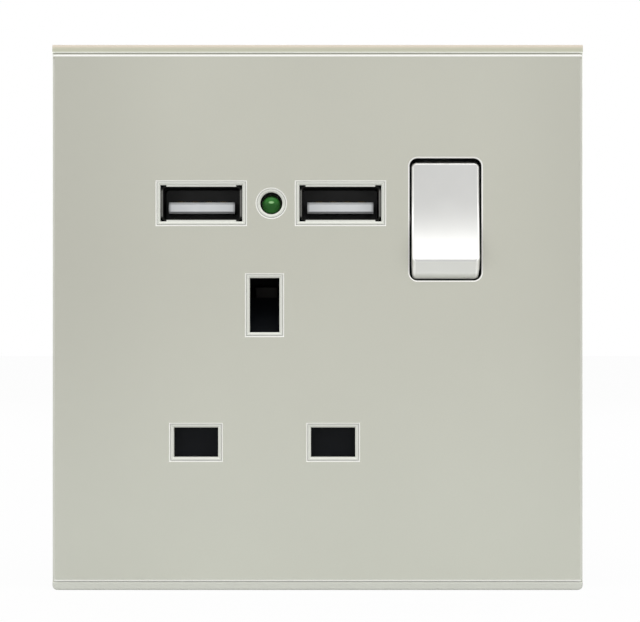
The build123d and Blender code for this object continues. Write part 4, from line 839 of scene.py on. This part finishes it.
def colour_of(name, description, default):
    """A colour that a user may change."""
    limits = {"size": 3, "min": 0.0, "max": 1.0}
    return FloatVectorProperty(
        name=name, description=description, subtype="COLOR", default=default, **limits
    )


def length_of(name, description, millimetres):
    """A length that a user may change."""
    return FloatProperty(
        name=name,
        description=description,
        unit="LENGTH",
        precision=5,
        min=0.0,
        default=millimetres * MM,
    )


def power_of(name, description, watts):
    """A lamp's power that a user may change."""
    return FloatProperty(name=name, description=description, unit="POWER", min=0.0, default=watts)


class SocketFinishes(bpy.types.PropertyGroup):
    """Colours of the socket's finishes."""

    # Painted shade: the paint darkened towards the panel's top.
    panel_top_shade: colour_of("Panel above", "Satin paint at the panel's top", (0.526, 0.526, 0.455))
    # Painted light: the paint lightened towards the panel's foot.
    panel_foot_light: colour_of("Panel below", "Satin paint at the panel's foot", (0.577, 0.587, 0.513))
    # Painted light on the upper rim's crest.
    rim_crest_light: colour_of("Rim crest", "Paint at the top of the upper rim", (0.73, 0.645, 0.535))
    # Painted shade with a warm painted reflection on the rim over the panel.
    rim_above_shade: colour_of("Rim above", "Paint of the rim over the panel", (0.53, 0.53, 0.415))
    # Painted light on the rim under the panel.
    rim_below_light: colour_of("Rim below", "Paint of the rim under the panel", (0.60, 0.612, 0.555))
    # The pale cut edges, also used for the painted highlight under the panel's top edge.
    cut_edge: colour_of("Cut edge", "Bevels and cut edges of the panel", (0.96, 0.96, 0.92))
    moulding: colour_of("Moulding", "White moulding and its bezels", (0.675, 0.685, 0.63))
    housing: colour_of("Housing", "Black plastic of the back", (0.018, 0.019, 0.022))
    well: colour_of("Well", "Black plastic behind the front", (0.007, 0.008, 0.010))
    chrome: colour_of("Chrome", "Satin chrome of the rocker", (0.60, 0.60, 0.585))
    # Painted light on the rocker's noses.
    nose_chrome_light: colour_of("Nose chrome", "The rocker's rubbed noses", (0.78, 0.785, 0.76))
    # Painted highlight on the rocker's edges.
    edge_chrome_highlight: colour_of("Edge chrome", "The rocker's rubbed edges", (0.93, 0.93, 0.91))
    lamp: colour_of("Lamp", "Tint of the indicator's lens", (0.022, 0.125, 0.020))
    # A painted highlight where the indicator's chip sits.
    die_highlight: colour_of("Lamp die", "Pale spot inside the indicator", (0.30, 0.56, 0.25))
    shell: colour_of("Port shell", "Plating of the ports' shells", (0.14, 0.14, 0.13))
    tongue: colour_of("Port tongue", "Plastic of the ports' tongues", (0.84, 0.86, 0.87))
    # Painted shade: the ports' contacts are darkened as if in shadow.
    shaded_gilt: colour_of("Port contacts", "Plating of the ports' contacts", (0.09, 0.065, 0.03))
    # Painted shade: the clips and the switch's strip are near black as if in shadow.
    bronze: colour_of("Bronze", "Dark strip of the clips and the switch", (0.021, 0.020, 0.019))
    brass: colour_of("Brass", "Terminals", (0.72, 0.50, 0.20))
    silver: colour_of("Silver", "Tips of the switch contacts", (0.83, 0.82, 0.79))
    steel: colour_of("Steel", "Zinc-plated screws and springs", (0.50, 0.51, 0.52))


class SocketCharger(bpy.types.PropertyGroup):
    """Colours of the charger's parts."""

    board: colour_of("Board", "Solder mask of the board", (0.012, 0.075, 0.035))
    ferrite: colour_of("Ferrite", "Core of the transformer", (0.035, 0.035, 0.038))
    tape: colour_of("Tape", "Tape round the transformer's winding", (0.72, 0.47, 0.06))
    bulk_sleeve: colour_of("Bulk sleeve", "Sleeve of the large capacitors", (0.02, 0.05, 0.16))
    bulk_stripe: colour_of("Bulk stripe", "Stripe of the large capacitors", (0.6, 0.63, 0.66))
    output_sleeve: colour_of("Output sleeve", "Sleeve of the output capacitor", (0.03, 0.1, 0.06))
    output_stripe: colour_of("Output stripe", "Stripe of the output capacitor", (0.62, 0.64, 0.6))
    resin: colour_of("Resin", "Rectifier and control chip", (0.016, 0.016, 0.017))
    left_lead: colour_of("Left lead", "Sleeve of the left lead", (0.03, 0.12, 0.42))
    right_lead: colour_of("Right lead", "Sleeve of the right lead", (0.16, 0.065, 0.03))


class SocketRocker(bpy.types.PropertyGroup):
    """Fit of the rocker's face in its well."""

    face_depth: length_of("Face depth", "How far the face's top edge lies behind its nose", 3.1)
    edge_drop: length_of("Edge drop", "How far the face's top edge is drawn down", 0.35)
    nose_drop: length_of("Nose drop", "How far the nose is drawn down", 0.23)
    reach: length_of("Reach", "Distance over which each of the two fades out", 3.0)


class SocketFasteners(bpy.types.PropertyGroup):
    """Sizes of the screws' threads and heads."""

    fixing_radius: length_of("Fixing radius", "Radius of the wall-box screws' thread", 1.75)
    fixing_pitch: length_of("Fixing pitch", "Thread pitch of the wall-box screws", 0.6)
    fixing_depth: length_of("Fixing depth", "Depth of the wall-box screws' thread", 0.3)
    fixing_head: length_of("Fixing head", "Height of the wall-box screws' heads", 2.3)
    fixing_neck: length_of("Fixing neck", "Plain length under the wall-box screws' heads", 3.6)
    terminal_radius: length_of("Terminal radius", "Radius of the terminal screws' thread", 1.5)
    terminal_pitch: length_of("Terminal pitch", "Thread pitch of the terminal screws", 0.5)
    terminal_depth: length_of("Terminal depth", "Depth of the terminal screws' thread", 0.22)
    terminal_head: length_of("Terminal head", "Height of the terminal screws' heads", 1.2)
    terminal_neck: length_of("Terminal neck", "Plain length under the terminal screws' heads", 0.0)
    housing_radius: length_of("Housing radius", "Radius of the housing screws' thread", 0.85)
    housing_pitch: length_of("Housing pitch", "Thread pitch of the housing screws", 0.6)
    housing_depth: length_of("Housing depth", "Depth of the housing screws' thread", 0.22)
    housing_head: length_of("Housing head", "Height of the housing screws' heads", 1.5)
    housing_neck: length_of("Housing neck", "Plain length under the housing screws' heads", 0.0)
    slot: length_of("Slot", "Width and depth of the drive slots", 0.8)


class SocketSprings(bpy.types.PropertyGroup):
    """Sizes of the two coil springs."""

    plunger_wire: length_of("Plunger wire", "Wire of the spring in the rocker", 0.35)
    plunger_turns: IntProperty(
        name="Plunger turns", description="Turns of the spring in the rocker", min=1, default=4
    )
    plunger_foot: length_of("Plunger foot", "From the rocker's pivot to that spring", 0.5)
    plunger_length: length_of("Plunger length", "Length of the spring in the rocker", 3.5)
    plunger_radius: length_of("Plunger radius", "Outer radius of the spring in the rocker", 1.225)
    shutter_wire: length_of("Shutter wire", "Wire of the spring under the shutter", 0.4)
    shutter_turns: IntProperty(
        name="Shutter turns", description="Turns of the spring under the shutter", min=1, default=7
    )


class SocketStudio(bpy.types.PropertyGroup):
    """Camera and lights."""

    lens: FloatProperty(
        name="Lens", description="Focal length of the camera", unit="CAMERA", min=1.0, default=200.0
    )
    distance: length_of("Distance", "From the camera to the front panel", 576.0)
    aside: length_of("Aside", "Camera's place to the right of the plate's middle", 0.39)
    above: length_of("Above", "Camera's place above the plate's middle", 1.04)
    ambient: FloatProperty(
        name="Ambient", description="Level of the light from all round", min=0.0, default=0.62
    )
    key: power_of("Key", "Softbox above the front", 2.6)
    low: power_of("Low", "Softboxes near the floor in front", 0.1)
    fill: power_of("Fill", "Softboxes at the sides", 1.2)
    rear: power_of("Rear", "Softbox behind the object", 2.0)


class SOCKET_OT_face(bpy.types.Operator):
    """Paint the front panel and the rim round it"""

    bl_idname = "socket.face"
    bl_label = "Panel and frame"

    def execute(self, context):
        colours = context.scene.socket_finishes
        panel, rim = (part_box(node)[1] / MM for node in ("front_panel", "outer_frame"))
        # The panel's and the rim's colours carry painted light and shade.
        above, below = colours.panel_top_shade, colours.panel_foot_light
        dress(panel_paint("panel paint", above, below, colours.cut_edge, panel), "front_panel")
        crest, above, below = colours.rim_crest_light, colours.rim_above_shade, colours.rim_below_light
        dress(rim_paint("rim paint", crest, above, below, rim, panel.z), "outer_frame")
        return {"FINISHED"}


class SOCKET_OT_mouldings(bpy.types.Operator):
    """Finish the white front moulding and the black plastic behind it"""

    bl_idname = "socket.mouldings"
    bl_label = "Mouldings"

    def execute(self, context):
        colours = context.scene.socket_finishes
        # The white moulding's bevels get painted shade looking down and painted light looking up.
        white = moulded_plastic(
            "white moulding", colours.moulding, texture=0.2, roughness=0.32, bevels=(0.95, 1.3)
        )
        back = moulded_plastic("housing black", colours.housing, texture=0.45, roughness=0.5)
        well = moulded_plastic("well black", colours.well, texture=0.3, roughness=0.42, gloss=0.08)
        dress(white, "socket_front")
        dress(back, "rear_housing")
        dress(well, "switch_frame", "shutter")
        return {"FINISHED"}


class SOCKET_OT_rocker(bpy.types.Operator):
    """Plate the rocker and finish its sprung plunger"""

    bl_idname = "socket.rocker"
    bl_label = "Rocker"

    def execute(self, context):
        colours, fit = context.scene.socket_finishes, context.scene.socket_rocker
        made = eased_rocker("plated_rocker", "rocker", fit)
        made.data.materials.append(
            satin_chrome("rocker chrome", colours.chrome, colours.nose_chrome_light, colours.edge_chrome_highlight)
        )
        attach(made, "rocker")
        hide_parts("rocker")
        tip = moulded_plastic("plunger white", colours.tongue, texture=0.15, roughness=0.3)
        dress(tip, "rocker_plunger")
        return {"FINISHED"}


class SOCKET_OT_ports(bpy.types.Operator):
    """Finish the charging ports: shells, tongues and contacts"""

    bl_idname = "socket.ports"
    bl_label = "Charging ports"

    def execute(self, context):
        colours = context.scene.socket_finishes
        for side in ("left", "right"):
            shell, tongue = f"usb_shell_{side}", f"usb_tongue_{side}"
            low, high = (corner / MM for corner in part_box(shell))
            middle, half_height = (low.z + high.z) / 2, (high.z - low.z) / 2
            plating = port_shell(f"port shell {side}", colours.shell, low.y, middle, half_height)
            dress(plating, shell)
            nose, (left, right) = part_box(tongue)[0].y / MM, front_span(tongue, NOSE_DEPTH)
            blade = port_tongue(f"port tongue {side}", colours.tongue, nose, left / MM, right / MM)
            dress(blade, tongue)
            # The contacts' plating, darkened with painted shade.
            shaded_gilt = rolled_metal(
                f"port contacts {side}", colours.shaded_gilt, roughness=0.24, grain=(1.0, 12.0, 1.0)
            )
            dress(shaded_gilt, f"usb_contacts_{side}")
        return {"FINISHED"}


class SOCKET_OT_lamp(bpy.types.Operator):
    """Tint the indicator's lens and tin its legs"""

    bl_idname = "socket.lamp"
    bl_label = "Indicator"

    def execute(self, context):
        colours = context.scene.socket_finishes
        low, high = (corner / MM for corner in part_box("indicator_led"))
        middle, radius = (low + high) / 2, (high.x - low.x) / 2 - LAMP_FLANGE
        dress(lamp_lens("lamp lens", colours.lamp, colours.die_highlight, middle, radius), "indicator_led")
        tin = rolled_metal("lamp legs", colours.steel, roughness=0.3, grain=(1.0, 12.0, 1.0))
        dress(tin, "led_leads")
        return {"FINISHED"}


class SOCKET_OT_contacts(bpy.types.Operator):
    """Finish the contact strips, darkened with painted shade, the brass terminals and the switch's
    silver tips
    """

    bl_idname = "socket.contacts"
    bl_label = "Contacts and terminals"

    def execute(self, context):
        colours = context.scene.socket_finishes
        # The contact strips, darkened with painted shade.
        bronze = rolled_metal("contact bronze", colours.bronze, roughness=0.34)
        brass = rolled_metal("terminal brass", colours.brass, roughness=0.36, grain=(1.0, 9.0, 1.0))
        silver = rolled_metal("contact silver", colours.silver, roughness=0.28)
        dress(
            bronze,
            "line_contact", "neutral_contact", "earth_contact", "moving_contact", "switch_pivot",
        )
        dress(brass, "line_terminal", "neutral_terminal", "earth_terminal")
        dress(silver, "moving_contact_tip", "fixed_contact_tip")
        return {"FINISHED"}


class SOCKET_OT_screws(bpy.types.Operator):
    """Make the threaded screws: wall-box fixings, terminal clamps and housing screws"""

    bl_idname = "socket.screws"
    bl_label = "Screws"

    def execute(self, context):
        sizes, colours = context.scene.socket_fasteners, context.scene.socket_finishes
        rule = screw_rule()
        zinc = rolled_metal("screw zinc", colours.steel, roughness=0.3, grain=(6.0, 1.0, 6.0))
        kinds = (("fixing", True, False), ("terminal", False, False), ("housing", False, True))
        for kind, faces_room, crossed in kinds:
            node = kind + "_screws"
            boxes = loose_parts(node)
            low, high = boxes[0]
            radius, pitch, depth, head_height, neck = (
                getattr(sizes, f"{kind}_{size}")
                for size in ("radius", "pitch", "depth", "head", "neck")
            )
            head_mesh = screw_head((high.x - low.x) / 2, head_height, sizes.slot, crossed)
            head = bpy.data.objects.new(node + "_head", head_mesh)
            context.scene.collection.objects.link(head)
            seat = low.y + head_height if faces_room else high.y - head_height
            points = [((a.x + b.x) / 2, seat, (a.z + b.z) / 2) for a, b in boxes]
            made = rule.grow("threaded_" + node, points_mesh(points), {
                "Head": head,
                "Turn": (math.radians(90 if faces_room else -90), 0.0, 0.0),
                "Radius": radius,
                "Depth": depth,
                "Pitch": pitch,
                "Length": high.y - low.y - head_height,
                "Neck": neck,
                "Point": 2 * depth,
                "Material": zinc,
            })
            bpy.data.objects.remove(head)
            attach(made, BODY)
            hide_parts(node)
        return {"FINISHED"}


class SOCKET_OT_springs(bpy.types.Operator):
    """Wind the plunger's and the shutter's springs"""

    bl_idname = "socket.springs"
    bl_label = "Springs"

    def execute(self, context):
        sizes, colours = context.scene.socket_springs, context.scene.socket_finishes
        rule = coil_rule()
        wire = rolled_metal("spring wire", colours.steel, roughness=0.26, grain=(1.0, 1.0, 1.0))
        pivot = Vector(joint("rocker_tilt")["pos_m"])
        push = Vector(joint("plunger_press")["axis"])
        foot, length = pivot + push * sizes.plunger_foot, sizes.plunger_length
        made = wound_spring(
            rule, "coil_plunger_spring", foot, push, length,
            sizes.plunger_radius, sizes.plunger_wire, sizes.plunger_turns, wire,
        )
        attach(made, "rocker")
        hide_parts("plunger_spring")
        keep = 1 - joint("plunger_press")["range_m"][1] / length
        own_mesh(made)

        low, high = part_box("shutter_spring")
        foot, length = Vector(((low.x + high.x) / 2, (low.y + high.y) / 2, low.z)), high.z - low.z
        made = wound_spring(
            rule, "coil_shutter_spring", foot, Vector((0, 0, 1)), length,
            (high.x - low.x) / 2, sizes.shutter_wire, sizes.shutter_turns, wire,
        )
        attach(made, BODY)
        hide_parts("shutter_spring")
        keep = 1 - joint("shutter_slide")["range_m"][1] / length
        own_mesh(made)
        return {"FINISHED"}


class SOCKET_OT_charger(bpy.types.Operator):
    """Finish the charger: board, transformer, capacitors, chips and leads"""

    bl_idname = "socket.charger"
    bl_label = "Charger"

    def execute(self, context):
        colours, brass = context.scene.socket_charger, context.scene.socket_finishes.brass
        dress(circuit_board("board green", colours.board, brass), "charger_board")
        ferrite = speckled("ferrite", colours.ferrite, grain=0.3, roughness=0.55)
        dress(ferrite, "transformer_core")
        dress(wound_tape("winding tape", colours.tape), "transformer_winding")
        for node, name, kind, drop in (
            ("bulk_capacitors", "capacitor sleeve", "bulk", BULK_STRIPE),
            ("output_capacitor", "output sleeve", "output", OUTPUT_STRIPE),
        ):
            sleeve, stripe = (getattr(colours, f"{kind}_{one}") for one in ("sleeve", "stripe"))
            dress(sleeved_can(name, sleeve, stripe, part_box(node)[1].y / MM - drop), node)
        resin = speckled("chip resin", colours.resin, grain=0.12, roughness=0.6)
        dress(resin, "bridge_rectifier", "control_chip")
        low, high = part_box("charger_leads")
        parting = (low.x + high.x) / 2 / MM
        sleeves = insulated_lead("lead sleeves", colours.left_lead, colours.right_lead, parting)
        dress(sleeves, "charger_leads")
        return {"FINISHED"}


def softbox(name, size, place, aim, power):
    """A rectangular area light that looks at a point."""
    light = bpy.data.lights.new(name, "AREA")
    light.shape, light.size, light.size_y, light.energy = "RECTANGLE", *size, power
    obj = bpy.data.objects.new(name, light)
    bpy.context.scene.collection.objects.link(obj)
    obj.location = place
    obj.rotation_euler = (Vector(aim) - Vector(place)).to_track_quat("-Z", "Y").to_euler()


def seen_rays(nodes):
    """1 for the rays that show the white surround: to the camera, off gloss and through glass."""
    kinds = ("Is Camera Ray", "Is Glossy Ray", "Is Transmission Ray")
    camera, glossy, through = (nodes.node("ShaderNodeLightPath", output=kind) for kind in kinds)
    return camera.highest(glossy).highest(through)


def white_surround(owner, output, share, plain, white):
    """Fill the nodes of a material or world that shows a share of white to the rays that see it.

    The plain shader, for the other rays, and the white one are given as (node type, sockets).
    """
    owner.use_nodes = True
    nodes = Nodes(owner.node_tree)
    nodes.tree.nodes.clear()
    unseen, seen = (nodes.node(kind, None, sockets) for kind, sockets in (plain, white))
    factor = share * seen_rays(nodes)
    mixed = nodes.node("ShaderNodeMixShader", None, {0: factor, 1: unseen, 2: seen})
    nodes.plug(nodes.tree.nodes.new(output).inputs["Surface"], mixed)


class SOCKET_OT_studio(bpy.types.Operator):
    """Set up the floor, the white surround, the softboxes and the camera"""

    bl_idname = "socket.studio"
    bl_label = "Studio"

    def execute(self, context):
        scene, studio = context.scene, context.scene.socket_studio
        low, high = CAD_BOX
        middle = (low + high) / 2

        shape = bmesh.new()
        bmesh.ops.create_grid(
            shape, x_segments=FLOOR_CELLS, y_segments=FLOOR_CELLS, size=FLOOR_HALF
        )
        bmesh.ops.translate(shape, vec=(0, 0, low.z), verts=shape.verts)
        floor = piece("floor", bmesh_to_mesh(shape))
        paper = bpy.data.materials.new("floor paper")
        matt = ("ShaderNodeBsdfDiffuse", {"Color": FLOOR_PAPER})
        glow = ("ShaderNodeEmission", {"Color": WHITE, "Strength": 1.0})
        white_surround(paper, "ShaderNodeOutputMaterial", FLOOR_GLOW, matt, glow)
        floor.data.materials.append(paper)

        scene.world = bpy.data.worlds.new("white surround")
        dim, bright = (
            ("ShaderNodeBackground", {"Color": WHITE, "Strength": strength})
            for strength in (studio.ambient, 1.0)
        )
        white_surround(scene.world, "ShaderNodeOutputWorld", 1.0, dim, bright)

        for name, size, place, power in (
            ("key", (0.8, 0.5), (0.1, -0.6, 0.75), studio.key),
            ("low left", (0.3, 0.08), (-0.3, -0.7, 0.02), studio.low),
            ("low right", (0.3, 0.08), (0.3, -0.7, 0.02), studio.low),
            ("fill left", (0.5, 0.7), (-0.8, -0.5, 0.15), studio.fill),
            ("fill right", (0.5, 0.7), (0.8, -0.5, 0.15), studio.fill * RIGHT_FILL),
            ("rear", (0.9, 0.6), (0.1, 0.8, 0.6), studio.rear),
        ):
            softbox(name, size, place, middle, power)

        camera = bpy.data.cameras.new("camera")
        camera.lens, camera.sensor_width = studio.lens, SENSOR_WIDTH
        eye = bpy.data.objects.new("camera", camera)
        scene.collection.objects.link(eye)
        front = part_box("front_panel")[0].y
        eye.location = (studio.aside, front - studio.distance, studio.above)
        eye.rotation_euler = (math.pi / 2, 0.0, 0.0)
        scene.camera = eye
        scene.view_settings.view_transform = "Standard"
        return {"FINISHED"}


OPERATORS = (
    SOCKET_OT_face,
    SOCKET_OT_mouldings,
    SOCKET_OT_rocker,
    SOCKET_OT_ports,
    SOCKET_OT_lamp,
    SOCKET_OT_contacts,
    SOCKET_OT_screws,
    SOCKET_OT_springs,
    SOCKET_OT_charger,
    SOCKET_OT_studio,
)
SETTINGS = {
    "socket_finishes": SocketFinishes,
    "socket_charger": SocketCharger,
    "socket_rocker": SocketRocker,
    "socket_fasteners": SocketFasteners,
    "socket_springs": SocketSprings,
    "socket_studio": SocketStudio,
}


class SOCKET_PT_tools(bpy.types.Panel):
    """Sizes, colours and steps of the wall socket"""

    bl_label = "Wall socket"
    bl_idname = "SOCKET_PT_tools"
    bl_space_type = "VIEW_3D"
    bl_region_type = "UI"
    bl_category = "Socket"

    def draw(self, context):
        for attribute, group in SETTINGS.items():
            box = self.layout.box()
            box.label(text=group.__doc__)
            for field in group.__annotations__:
                box.prop(getattr(context.scene, attribute), field)
        for operator in OPERATORS:
            self.layout.operator(operator.bl_idname)


def register():
    for group in SETTINGS.values():
        bpy.utils.register_class(group)
    for attribute, group in SETTINGS.items():
        setattr(bpy.types.Scene, attribute, PointerProperty(type=group))
    for operator in OPERATORS:
        bpy.utils.register_class(operator)
    bpy.utils.register_class(SOCKET_PT_tools)


def unregister():
    bpy.utils.unregister_class(SOCKET_PT_tools)
    for operator in reversed(OPERATORS):
        bpy.utils.unregister_class(operator)
    for attribute, group in reversed(SETTINGS.items()):
        delattr(bpy.types.Scene, attribute)
        bpy.utils.unregister_class(group)


def main():
    register()
    bpy.ops.socket.face()
    bpy.ops.socket.mouldings()
    bpy.ops.socket.rocker()
    bpy.ops.socket.ports()
    bpy.ops.socket.lamp()
    bpy.ops.socket.contacts()
    bpy.ops.socket.screws()
    bpy.ops.socket.springs()
    bpy.ops.socket.charger()
    bpy.ops.socket.studio()


if __name__ == "__main__":
    main()
